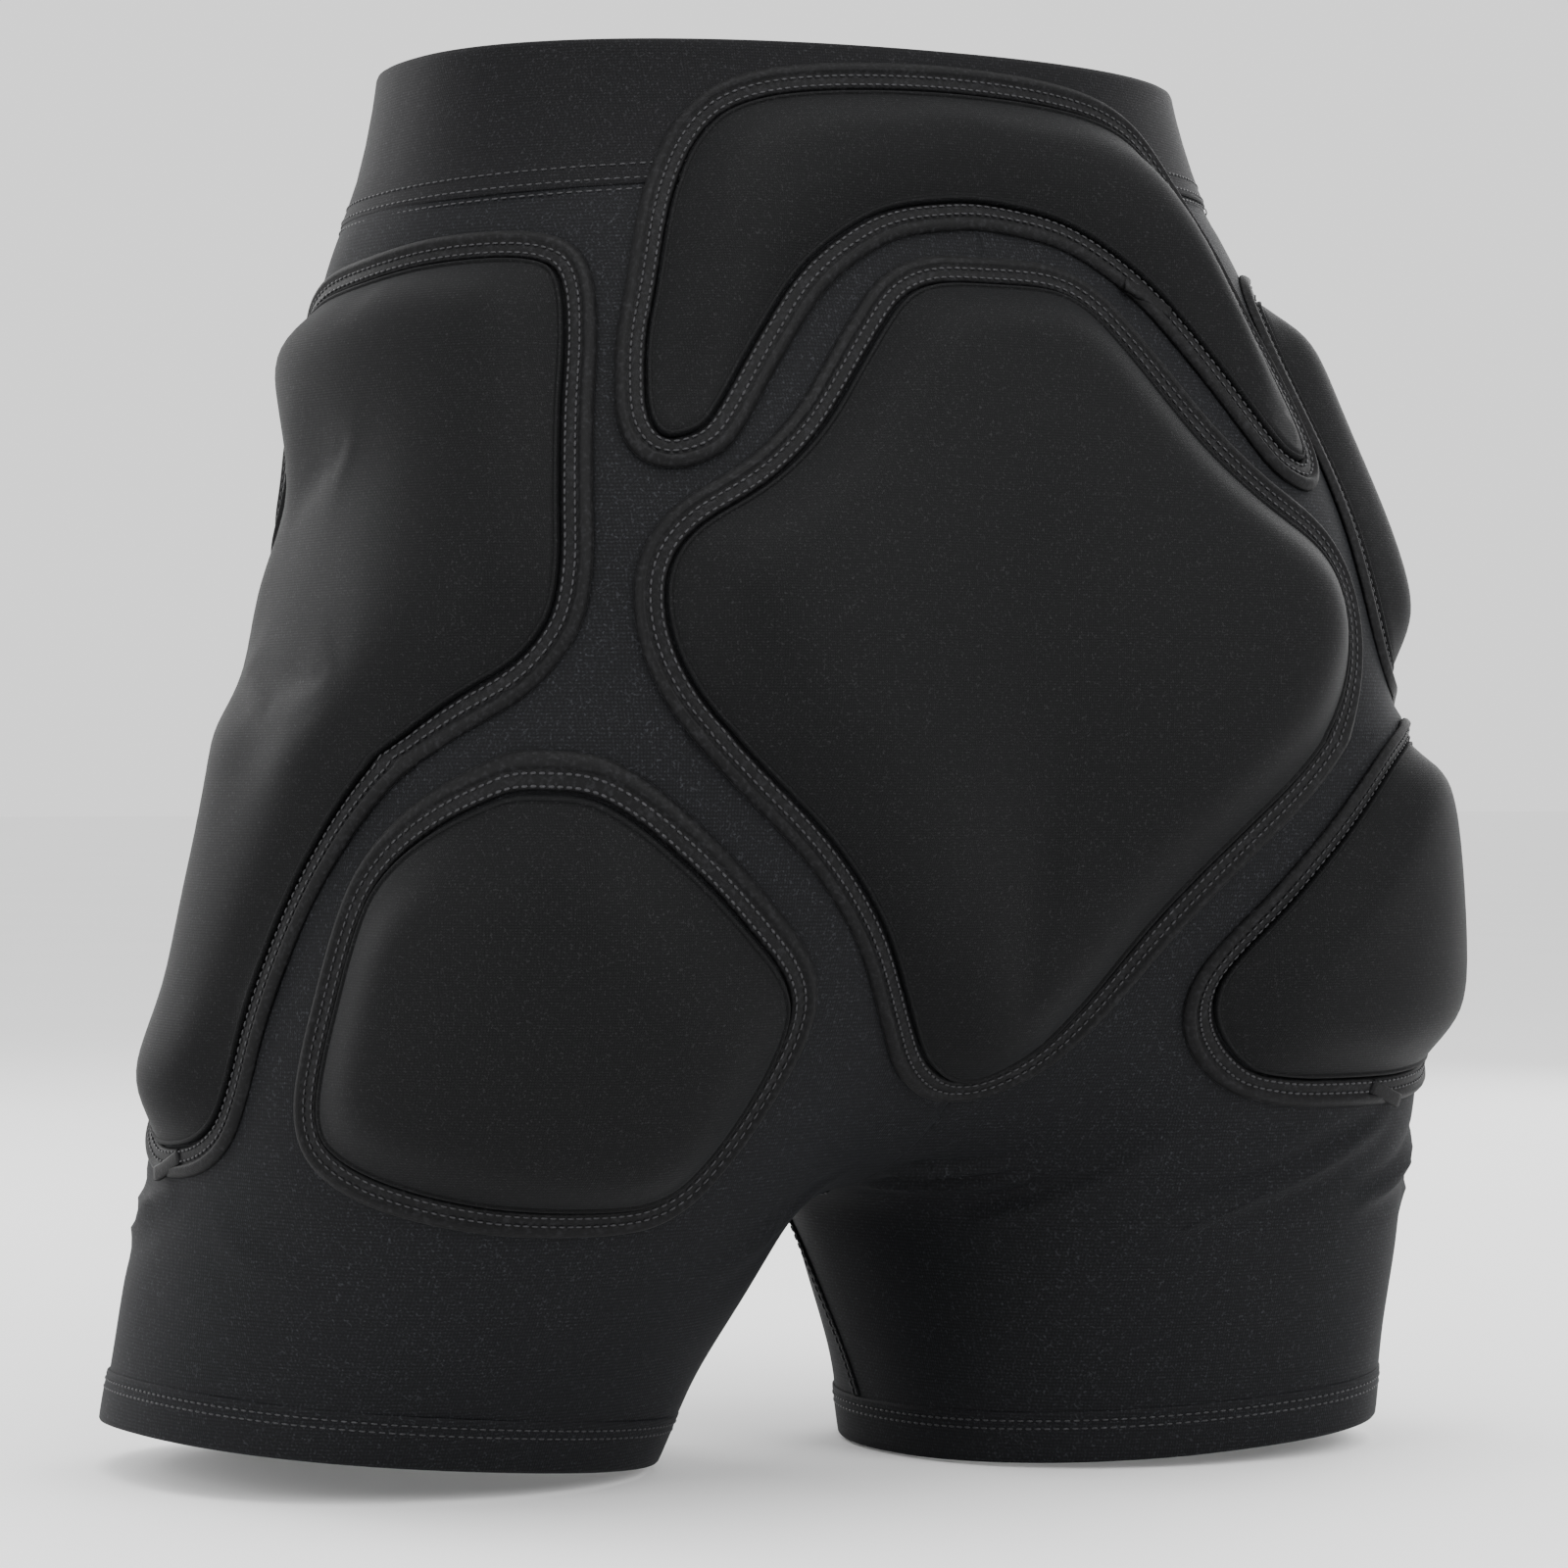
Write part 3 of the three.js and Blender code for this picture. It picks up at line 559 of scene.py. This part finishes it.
def makeShell(name, side):
    top = onTorso(angles, shell["top"])
    rows = [snap(mixed(top, crease, t)) for t in np.linspace(0, 1, shell["above"])]
    upper = np.vstack(rows[:-1] + [tops[: len(angles)]])
    for column in (0, len(angles) - 1):
        upper[column :: len(angles), 0] = 0
    lows = hemPoint(topAngles, hemLevel(topAngles, side) + 1.5, side)
    rows = [snap(mixed(tops, lows, t)) for t in np.linspace(0, 1, shell["below"])]
    lower = np.vstack([tops] + rows[1:-1] + [lows])
    lower[:, 0] = np.maximum(lower[:, 0], 0)
    upperPart = (upper, gridFaces(shell["above"], len(angles)))
    lowerPart = (lower, gridFaces(shell["below"], len(tops), True))
    points, faces = weld(*together([upperPart, lowerPart]))
    quiet = smooth((points[:, 2] - 8) / 14)
    rise = (foldsOf(points, name) + relaxed(points)) * quiet
    rise = rise * smooth((points[:, 0] - 1) / 9)
    rise -= 0.35 * smooth((points[:, 2] - 392) / 6)
    outer = raised(points, rise)
    outer[:, 0] = np.where(points[:, 0] < 1e-6, 0, np.maximum(outer[:, 0], 0))
    inner = raised(points, rise - shell["thick"])
    inner[:, 0] = np.where(points[:, 0] < 1e-6, 0, np.maximum(inner[:, 0], 0))
    piece = makePiece(name + "_shell", *closed(outer, inner, faces), side, shellKnit, "shell_knit")
    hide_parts(name + "_seat_panel", name + "_crease_band", name + "_leg_panel")
    return follow(piece, side)


threadLook = {"pitch": 2.7, "length": 1.9, "wide": 0.75, "tall": 0.6}
hemLook = {"pitch": 3.0, "length": 2.0, "wide": 0.7, "tall": 0.5}


def makeHem(name, side):
    ring = np.linspace(0, 360, 200, endpoint=False)
    tilt = hemLevel(ring, side)
    section = [
        (0.1, 16.8), (0.5, 16.4), (0.6, 15.4), (0.45, 13.8), (0.6, 12), (0.65, 8), (0.6, 3), (0.5, 0.9),
        (0.1, 0.25), (-0.5, 0), (-1.2, 0), (-1.7, 0.4), (-1.9, 1.6), (-1.9, 8), (-1.9, 14.5), (-1.6, 16.2),
    ]
    rows = [hemPoint(ring, tilt + z, side, h) for h, z in section]
    verts = np.stack(rows, axis=1).reshape(-1, 3)
    faces = tubeFaces(len(ring), len(section))
    hem = makePiece(name + "_hem_fold", verts, faces, side, shellKnit, "shell_knit")
    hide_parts(name + "_hem")
    follow(hem, side)
    lines = [hemPoint(ring, tilt + z, side, h) for h, z in ((0.62, 13.8), (0.62, 11.2))]
    beads = together([stitchBeads(line, True, hemLook) for line in lines])
    stitches = makePiece(name + "_hem_stitches", *beads, side, sewingThread, "thread")
    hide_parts(name + "_hem_stitching")
    follow(stitches, side)


for name, side in sides:
    makeShell(name, side)
    makeHem(name, side)
print("shell and hems made")


# Waistband.
band = {"columns": 260, "seam": 396, "sway": 7, "lowest": 125, "proud": 0.6, "deep": 3.6}


def bandRing(h, z):  # level ring round the waist; z can change with the angle
    angle = np.linspace(0, 360, band["columns"], endpoint=False)
    z = z(angle) if callable(z) else z
    p = onTorso(np.where(angle > 180, 360 - angle, angle), z)
    q = raised(p, h, True)
    q[:, 0] *= np.where(angle > 180, -1, 1)
    return q


def bandSeam(rise):
    return lambda angle: band["seam"] + rise - band["sway"] * np.cos(np.radians(angle - band["lowest"]))


def makeWaistband():
    out, deep = band["proud"], band["deep"]
    top = rimHeight - 0.1
    levels = [(t, bandSeam(0)) for t in (0.1, 0.3, 0.55, 0.8, 0.94)]

    def between(t):
        return lambda angle: mixed(bandSeam(1.5)(angle), top - 1.8, t)

    section = [(0.05, bandSeam(-0.2)), (out * 0.9, bandSeam(0.2)), (out + 0.05, bandSeam(1.5))]
    section += [(out + 0.15 * math.sin(math.pi * t), between(t)) for t, _ in levels]
    section += [(out, top - 1.8), (out - 0.4, top - 0.5), (out - 1.2, top), (1.2 - deep, top)]
    section += [(0.4 - deep, top - 0.5), (-deep, top - 1.8)]
    section += [(-deep, between(t)) for t, _ in reversed(levels)]
    section += [(-deep, bandSeam(1.5)), (0.6 - deep, bandSeam(-0.2))]
    rows = [bandRing(h, z) for h, z in section]
    verts = np.stack(rows, axis=1).reshape(-1, 3)
    faces = tubeFaces(band["columns"], len(section))
    piece = makePiece("waistband", verts, faces, 0, bandKnit, "band_knit")
    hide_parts("waistband_sheath", "waistband_elastic")
    follow(piece, 0)
    lines = [bandRing(h, bandSeam(z)) for h, z in ((0.25, -1.6), (0.72, 1.9), (0.8, 6.4))]
    beads = together([stitchBeads(line, True, hemLook) for line in lines])
    stitches = makePiece("waistband_stitches", *beads, 0, sewingThread, "thread")
    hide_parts("waistband_stitching")
    follow(stitches, 0)


makeWaistband()
print("waistband made")


# Pads. Outline points: angle from straight back about the body's or the leg's axis, and height.
padOutlines = {
    "lumbar": {
        "on": onTorso, "mirrored": "ends",
        "there": [(0, 435), (12, 434.5), (25, 433), (35, 430), (42, 424), (46.5, 412), (48.3, 396),
                  (48.5, 380), (48.3, 362), (48.3, 346), (47.5, 331), (46.5, 319), (44, 309), (41, 305.5)],
        "back": [(0, 383), (13, 379), (20, 371), (25, 361), (28.5, 348), (31.5, 334), (33.8, 321),
                 (36.5, 310), (41, 305.5)],
    },
    "seat": {
        "on": onTorso, "mirrored": "sides",
        "there": [(0, 374), (11, 373), (17, 367), (21, 356), (25, 341), (29, 324), (34, 309), (40, 297),
                  (43, 284), (43.4, 264), (41, 242), (35, 217), (28, 194), (22, 170), (17, 143), (13, 129),
                  (6, 121), (0, 119.5)],
    },
    "side": {
        "on": onLeg, "mirrored": "",
        "there": [(72, 379), (50, 380), (30, 379), (21, 375), (18, 366), (18, 350), (20, 325), (21, 300),
                  (21.5, 276), (24, 257), (31, 243), (41, 236), (51, 227), (59, 213), (65, 194), (69, 171),
                  (71, 150), (71, 128), (73, 112), (81, 101), (98, 94)],
        "back": [(72, 379), (95, 376), (118, 372), (131, 363), (135, 347), (131, 329), (119, 314), (117, 304),
                 (126, 291), (135, 272), (138, 243), (137, 203), (133, 160), (127, 126), (117, 103),
                 (98, 94)],
    },
    "thigh": {
        "on": onLeg, "mirrored": "",
        "there": [(32, 231.5), (42, 226), (51, 216), (57, 202), (59, 185), (59.5, 165), (59.5, 145),
                  (58, 128), (53, 115), (44, 107), (32, 102), (19, 99)],
        "back": [(32, 231.5), (20, 227), (12, 218), (5, 207), (-2, 195), (-9, 182), (-16, 169), (-20.5, 157),
                 (-22, 144), (-21, 129), (-18, 115), (-13, 104), (-6, 99.5), (5, 98.5), (19, 99)],
    },
}
padLooks = {
    "lumbar": {"points": 440, "tall": 14, "bevel": 19, "crown": 0.8},
    "seat": {"points": 400, "tall": 19, "bevel": 23, "crown": 1.4},
    "side": {"points": 440, "tall": 15, "bevel": 21, "crown": 1.2, "thin": (112, 335, 0.5)},
    "thigh": {"points": 280, "tall": 16, "bevel": 21, "crown": 1.2},
}
# Sections from the outline inward: distance in and height above the cloth.
tapeSection = [
    (0.0, 0.15), (0.1, 0.9), (0.8, 1.8), (1.8, 2.5), (2.7, 2.75), (3.4, 2.5), (3.9, 1.75), (4.4, 1.65),
    (5.2, 1.9), (6.4, 1.95), (7.6, 1.9), (8.4, 1.7), (8.9, 1.3), (9.2, 0.5), (9.2, 0.15),
]
edgeSection = [
    (10.0, 0.15), (9.95, 1.6), (10.05, 2.5), (10.35, 2.95), (10.8, 3.0), (11.15, 2.7), (11.4, 2.45),
    (12.0, 3.1),
]
stitchRows = [(4.9, 2.05), (7.9, 2.05)]
padMaking = {"start": 12, "foot": 10.4, "under": 0.15, "spacing": 3.4, "insetRounds": 26, "cornerRounds": 18,
             "heightRounds": 9, "leanRounds": 60, "crownRounds": 5, "fill": 0.9}


def catmull(keys, count):  # a centripetal curve through the keys
    p = np.array(keys, float)
    p = np.vstack([2 * p[0] - p[1], p, 2 * p[-1] - p[-2]])
    gap = np.maximum(np.linalg.norm(np.diff(p, axis=0), axis=1) ** 0.5, 1e-4)
    at = np.linspace(0, len(keys) - 1, count)
    k = np.minimum(at.astype(int), len(keys) - 2)
    t = (at - k)[:, None]
    a, b, c, d = p[k], p[k + 1], p[k + 2], p[k + 3]
    g0, g1, g2 = gap[k][:, None], gap[k + 1][:, None], gap[k + 2][:, None]
    m1 = ((b - a) / g0 - (c - a) / (g0 + g1) + (c - b) / g1) * g1
    m2 = ((c - b) / g1 - (d - b) / (g1 + g2) + (d - c) / g2) * g1
    return b + m1 * t + (3 * (c - b) - 2 * m1 - m2) * t**2 + (2 * (b - c) + m1 + m2) * t**3


def respaced(path, count):  # the same path with evenly spaced points, both ends kept
    run = np.concatenate([[0], np.cumsum(np.linalg.norm(np.diff(path, axis=0), axis=1))])
    at = np.linspace(0, run[-1], count)
    return np.stack([np.interp(at, run, path[:, c]) for c in range(3)], axis=1)


def mirrored(p):
    return p * np.array([-1, 1, 1])


def rounded(loop):  # takes off the corners where two runs of keys meet
    for _ in range(padMaking["cornerRounds"]):
        loop = 0.5 * loop + 0.25 * (np.roll(loop, 1, axis=0) + np.roll(loop, -1, axis=0))
    return snap(loop)


def padOutline(pad, points):
    half = points // 2
    if pad["mirrored"] == "sides":
        keys = catmull(pad["there"], 900)
        one = respaced(pad["on"](keys[:, 0], keys[:, 1]), half + 1)
        one[[0, -1], 0] = 0
        return rounded(np.vstack([one, mirrored(one[1:-1][::-1])]))
    rails = [catmull(pad[k], 900) for k in ("there", "back")]
    there, back = [pad["on"](k[:, 0], k[:, 1]) for k in rails]
    if pad["mirrored"] == "ends":
        whole = np.vstack([there[::-1], mirrored(there[1:]), mirrored(back[::-1][1:]), back[1:-1]])
        loop = np.vstack([whole, whole[:1]])
        return rounded(respaced(loop, points + 1)[:-1])
    loop = np.vstack([there, back[::-1]])
    return rounded(respaced(loop, points + 1)[:-1])


def inset(edge, depth):  # the line on the form that keeps one distance in from the outline
    along = np.roll(edge, -1, axis=0) - np.roll(edge, 1, axis=0)
    inward = unit(np.cross(slopeAt(edge), along))
    middle = edge.mean(axis=0)
    if ((middle - edge) * inward).sum() < 0:
        inward = -inward
    fine = respaced(np.vstack([edge, edge[:1]]), len(edge) * 4)
    ring = edge + inward * depth
    for _ in range(padMaking["insetRounds"]):
        ring = 0.5 * ring + 0.25 * (np.roll(ring, 1, axis=0) + np.roll(ring, -1, axis=0))
        gap = ring[:, None] - fine[None]
        near = (gap**2).sum(2).argmin(1)
        away = ring - fine[near]
        ring = fine[near] + unit(away) * depth
        ring = snap(ring, 2)
    return ring


def fromEdge(points, edge):
    fine = respaced(np.vstack([edge, edge[:1]]), len(edge) * 2)
    parts = np.array_split(points, max(len(points) // 400, 1))
    return np.concatenate([np.sqrt(((part[:, None] - fine[None]) ** 2).sum(2).min(1)) for part in parts])


def chartRadius(pad):
    return 130 if pad["on"] is onTorso else 90


def chartOf(pad, p):  # a flat chart of the form: arc along, height up
    angle = np.arctan2(p[:, 0], p[:, 1]) if pad["on"] is onTorso else np.radians(legAngle(p))
    return np.stack([angle * chartRadius(pad), p[:, 2]], axis=1)


def fromChart(pad, c):
    return pad["on"](np.degrees(c[:, 0] / chartRadius(pad)), c[:, 1])


def insideOf(loop, p):
    x, y = p[:, 0][:, None], p[:, 1][:, None]
    ax, ay = loop[:, 0][None], loop[:, 1][None]
    bx, by = np.roll(ax, -1), np.roll(ay, -1)
    crosses = ((ay > y) != (by > y)) & (x < (bx - ax) * (y - ay) / np.where(by == ay, 1e-9, by - ay) + ax)
    return crosses.sum(axis=1) % 2 == 1


def filled(pad, ring, spacing):  # even triangles inside a ring: all points, the ring's first
    loop = chartOf(pad, ring)
    low, high = loop.min(0), loop.max(0)
    ys = np.arange(low[1], high[1], spacing * 0.87)
    rows = [(np.arange(low[0] + (i % 2) * spacing / 2, high[0], spacing), y) for i, y in enumerate(ys)]
    grid = np.vstack([np.stack([xs, np.full(len(xs), y)], axis=1) for xs, y in rows])
    grid = grid[insideOf(loop, grid)]
    gap = np.sqrt(((grid[:, None] - loop[None]) ** 2).sum(2).min(1))
    grid = grid[gap > spacing * 0.6]
    n = len(loop)
    given = np.vstack([loop, grid])
    edges = [(i, (i + 1) % n) for i in range(n)]
    made = delaunay_2d_cdt([Vector(c) for c in given.tolist()], edges, [], 1, 1e-5)
    source = [ids[0] for ids in made[3]]
    faces = [tuple(source[i] for i in f) for f in made[2]]
    return np.vstack([ring, fromChart(pad, grid)]), faces


def evened(values, faces, fixed, rounds):  # neighbours share their values, the fixed ones keep theirs
    values = np.reshape(values, (len(fixed), -1))
    one = np.array([(a, b) for f in faces for a, b in zip(f, f[1:] + f[:1])])
    pairs = np.vstack([one, one[:, ::-1]])
    count = np.maximum(np.bincount(pairs[:, 0], minlength=len(values)), 1)[:, None]
    for _ in range(rounds):
        shared = [np.bincount(pairs[:, 0], weights=c[pairs[:, 1]], minlength=len(values)) for c in values.T]
        values = np.where(fixed[:, None], values, 0.4 * values + 0.6 * np.stack(shared, axis=1) / count)
    return values


def padHeight(p, d, look):  # the moulded foam: steep at its edge, nearly flat on top
    begin, low = edgeSection[-1]
    t = np.clip((d - begin) / look["bevel"], 0, 1)
    top = low + (look["tall"] - look["crown"] - low) * (1 - (1 - t) ** 2) ** 0.72
    whole = top + look["crown"] * (1 - np.exp(-np.maximum(d - begin, 0) / 26))
    if "thin" not in look:
        return whole
    lower, upper, share = look["thin"]
    z = p[:, 2]
    waist = smooth((z - lower) / 45) * smooth((upper - z) / 40) * smooth((legAngle(p) - 55) / 40)
    return whole * (1 - share * waist)


swell = {"pressure": 4, "stiff": 25, "bending": 4, "mass": 0.25, "quality": 4, "frames": 14, "cap": 0.0022}


def inflate(piece, held):  # air pressure swells the cover, held along its edge
    mesh = piece.data
    rest = np.array([v.co for v in mesh.vertices])
    group = piece.vertex_groups.new(name="held")
    group.add([int(i) for i in np.flatnonzero(held)], 1.0, "REPLACE")
    cloth = piece.modifiers.new("cloth", "CLOTH")
    cloth.settings.quality = swell["quality"]
    cloth.settings.mass = swell["mass"]
    cloth.settings.tension_stiffness = swell["stiff"]
    cloth.settings.compression_stiffness = swell["stiff"]
    cloth.settings.bending_stiffness = swell["bending"]
    cloth.settings.use_pressure = True
    cloth.settings.uniform_pressure_force = swell["pressure"]
    cloth.settings.effector_weights.gravity = 0
    cloth.settings.vertex_group_mass = "held"
    cloth.point_cache.frame_start = 1
    cloth.point_cache.frame_end = swell["frames"]
    for k in range(1, swell["frames"] + 1):
        bpy.context.scene.frame_set(k)
    swollen = piece.evaluated_get(bpy.context.evaluated_depsgraph_get())
    now = np.array([v.co for v in swollen.data.vertices])
    move = now - rest
    far = np.linalg.norm(move, axis=1, keepdims=True)
    now = rest + move * np.minimum(1, swell["cap"] / np.maximum(far, 1e-9))
    piece.modifiers.remove(cloth)
    piece.vertex_groups.remove(group)
    mesh.vertices.foreach_set("co", now.astype(np.float32).ravel())
    mesh.update()
    bpy.context.scene.frame_set(1)
    print("  ", piece.name, "swelled by", round(float(far.max()) * 1000, 1), "mm before the cap")


# Where a tape ends over its own start: share of the way round, and which way the end runs.
tapeTails = {"lumbar_pad": (0.71, 1), "right_thigh_pad": (0.47, -1), "left_side_pad": (0.5, 1)}


def tapeTail(edge, start, share, way):
    steps = np.arange(11)
    k = (int(share * len(edge)) + way * steps) % len(edge)
    inward = np.linspace(6.6, 0.6, len(steps))
    path = snap(mixed(edge[k], start[k], inward[:, None] / padMaking["start"]), 3)
    lifted = raised(path, np.linspace(1.9, 2.6, len(steps)))
    return strip(lifted, [(-2.3, -1.2), (-2.2, 0.35), (-1.6, 0.6), (1.6, 0.6), (2.2, 0.35), (2.3, -1.2)])


def makePad(name, kind, side):
    pad, look, making = padOutlines[kind], padLooks[kind], padMaking
    edge = padOutline(pad, look["points"])
    start = inset(edge, making["start"])

    def ring(d, h):
        return raised(snap(mixed(edge, start, d / making["start"]), 3), h)

    n = len(edge)

    def swept(section):
        rows = [ring(d, h) for d, h in section]
        return np.stack(rows, axis=1).reshape(-1, 3), tubeFaces(n, len(section))

    parts = [swept(tapeSection)]
    if name in tapeTails:
        parts.append(tapeTail(edge, start, *tapeTails[name]))
    tape = makePiece(name + "_tape", *together(parts), side, bindingTape, "binding_tape")
    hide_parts(name + "_binding")
    beads = together([stitchBeads(ring(d, h), True, threadLook) for d, h in stitchRows])
    stitches = makePiece(name + "_stitches", *beads, side, sewingThread, "thread")
    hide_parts(name + "_stitching")

    rings = [ring(d, h) for d, h in edgeSection]
    inside, insideFaces = filled(pad, start, making["spacing"])
    depth = fromEdge(inside, edge)
    depth[:n] = making["start"]
    rim = np.arange(len(inside)) < n
    heights = evened(padHeight(inside, depth, look), insideFaces, rim, making["heightRounds"])
    way = unit(evened(unit(slopeAt(inside)), insideFaces, rim, making["leanRounds"]))
    crown = evened(inside + way * heights, insideFaces, rim, making["crownRounds"])
    wall = np.vstack(rings[:-1])
    shift = (len(rings) - 1) * n
    faces = gridFaces(len(rings), n, around=True) + [tuple(i + shift for i in f) for f in insideFaces]
    outer = np.vstack([wall, crown])
    foot = snap(mixed(edge, start, making["foot"] / making["start"]), 3)
    under = raised(np.vstack([foot, inside]), making["under"])
    solid = coverSolid(outer, under, faces, n, shift)
    cover = makePiece(name + "_padding", *solid, side, coverKnit, "pad_cover")
    still = np.ones(len(cover.data.vertices), bool)
    still[shift + n : len(outer)] = False
    inflate(cover, still)
    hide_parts(name + "_cover", name + "_foam")
    for piece in (tape, stitches, cover):
        follow(piece, side)


def coverSolid(outer, under, faces, n, shift):  # the underside closes the first ring of the wall
    base = len(outer)
    bottom = [tuple(reversed([base + n + i - shift for i in f])) for f in faces if min(f) >= shift]
    band = [(j, base + j, base + (j + 1) % n, (j + 1) % n) for j in range(n)]
    floorBand = [(base + j, base + n + j, base + n + (j + 1) % n, base + (j + 1) % n) for j in range(n)]
    return np.vstack([outer, under]), faces + bottom + band + floorBand


makePad("lumbar_pad", "lumbar", 0)
makePad("seat_pad", "seat", 0)
for name, side in sides:
    makePad(name + "_side_pad", "side", side)
    makePad(name + "_thigh_pad", "thigh", side)
print("pads made")


# Seams.
seam = {"wide": 4.4, "tall": 0.5, "step": 2.5, "stitchAside": 1.35, "front": (389, 112),
        "gusset": (0.0, 0.62), "inside": ((252, 92), (262, 19))}


def flatSection(wide, tall):
    half = [(-wide / 2, -0.2), (-wide / 2 + 0.2, tall * 0.8), (-wide / 2 + 0.8, tall), (-0.3, tall * 0.75)]
    return half + [(-d, h) for d, h in reversed(half)]


def makeSeam(name, path, side, replaced=()):
    length = np.linalg.norm(np.diff(path, axis=0), axis=1).sum()
    path = snap(respaced(path, max(int(length / seam["step"]), 8)), 4)
    section = flatSection(seam["wide"], seam["tall"])
    ribbon = makePiece(name, *strip(path, section), side, shellKnit, "shell_knit")
    if replaced:
        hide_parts(*replaced)
    follow(ribbon, side)
    along = np.gradient(path, axis=0)
    aside = unit(np.cross(unit(along), unit(slopeAt(path))))
    rows = [raised(snap(path + aside * d * seam["stitchAside"], 2), seam["tall"] + 0.1) for d in (-1, 1)]
    beads = together([stitchBeads(row, False, threadLook) for row in rows])
    stitches = makePiece(name + "_stitches", *beads, side, sewingThread, "thread")
    follow(stitches, side)


def makeSeams():
    front = onTorso(180, np.linspace(*seam["front"], 90))
    front[:, 0] = 0
    makeSeam("front_seam", front, 0)
    makeSeam("gusset_seam", underFork(np.linspace(*seam["gusset"], 60)), 0, ["crotch_gusset"])
    for name, side in sides:
        (angle, high), (lowAngle, low) = seam["inside"]
        path = onLeg(np.linspace(angle, lowAngle, 60), np.linspace(high, low, 60))
        makeSeam(name + "_inseam", path, side)


makeSeams()
print("seams made")


# Studio.
view = {"from": 150, "far": 1.629, "height": 0.216, "lens": 116.44, "surroundings": 1.35}


def makeCamera():
    camera = bpy.data.objects.new("camera", bpy.data.cameras.new("camera"))
    bpy.context.scene.collection.objects.link(camera)
    camera.data.lens = view["lens"]
    camera.data.sensor_width = 36
    a = math.radians(view["from"])
    target = Vector((0, backShift / 1000, view["height"]))
    camera.location = target + view["far"] * Vector((math.sin(a), -math.cos(a), 0))
    camera.rotation_mode = "QUATERNION"
    camera.rotation_quaternion = (target - camera.location).to_track_quat("-Z", "Y")
    camera.data.clip_start = 0.05
    bpy.context.scene.camera = camera


# Each light: angle round the object, height, distance, size, power.
lights = {
    "key": (196, 1.1, 1.9, 1.1, 30), "fill": (105, 0.7, 2.0, 1.2, 22), "rim": (20, 0.9, 2.0, 1.2, 20),
    "left_rim": (300, 0.9, 2.0, 1.2, 16), "top": (150, 2.2, 0.6, 1.5, 30),
}


def makeLights():
    for name, (angle, height, far, size, power) in lights.items():
        light = bpy.data.lights.new(name, "AREA")
        light.size = size
        light.energy = power
        lamp = bpy.data.objects.new(name, light)
        a = math.radians(angle)
        lamp.location = (far * math.sin(a), -far * math.cos(a), height)
        lamp.rotation_mode = "QUATERNION"
        lamp.rotation_quaternion = (Vector((0, 0, 0.22)) - lamp.location).to_track_quat("-Z", "Y")
        bpy.context.scene.collection.objects.link(lamp)
    world = bpy.data.worlds.new("studio")
    world.use_nodes = True
    background = world.node_tree.nodes["Background"]
    background.inputs["Color"].default_value = (1, 1, 1, 1)
    background.inputs["Strength"].default_value = view["surroundings"]
    bpy.context.scene.world = world


floorLook = {"reach": 30, "drop": 0.0005, "dark": (0.91, 0.91, 0.91, 1), "light": (0.95, 0.95, 0.95, 1)}


def makeFloor():
    mesh = bpy.data.meshes.new("floor")
    reach, drop = floorLook["reach"], floorLook["drop"]
    corners = [(x * reach, y * reach, -drop) for x, y in ((-1, -1), (1, -1), (1, 1), (-1, 1))]
    mesh.from_pydata(corners, [], [(0, 1, 2, 3)])
    shade = Shade("pale floor")
    place = shade.add("ShaderNodeTexCoord", {}, {}, out=3)
    grain = shade.add("ShaderNodeTexNoise", {}, {"Vector": place, "Scale": 3.0, "Detail": 3.0})
    colour = shade.blendOf(grain, floorLook["dark"], floorLook["light"])
    mesh.materials.append(shade.finish({"Base Color": colour, "Roughness": 0.8, "Specular IOR Level": 0.1}))
    floor = bpy.data.objects.new("floor", mesh)
    bpy.context.scene.collection.objects.link(floor)


makeCamera()
makeLights()
makeFloor()
print("studio made")

bpy.context.view_layer.update()
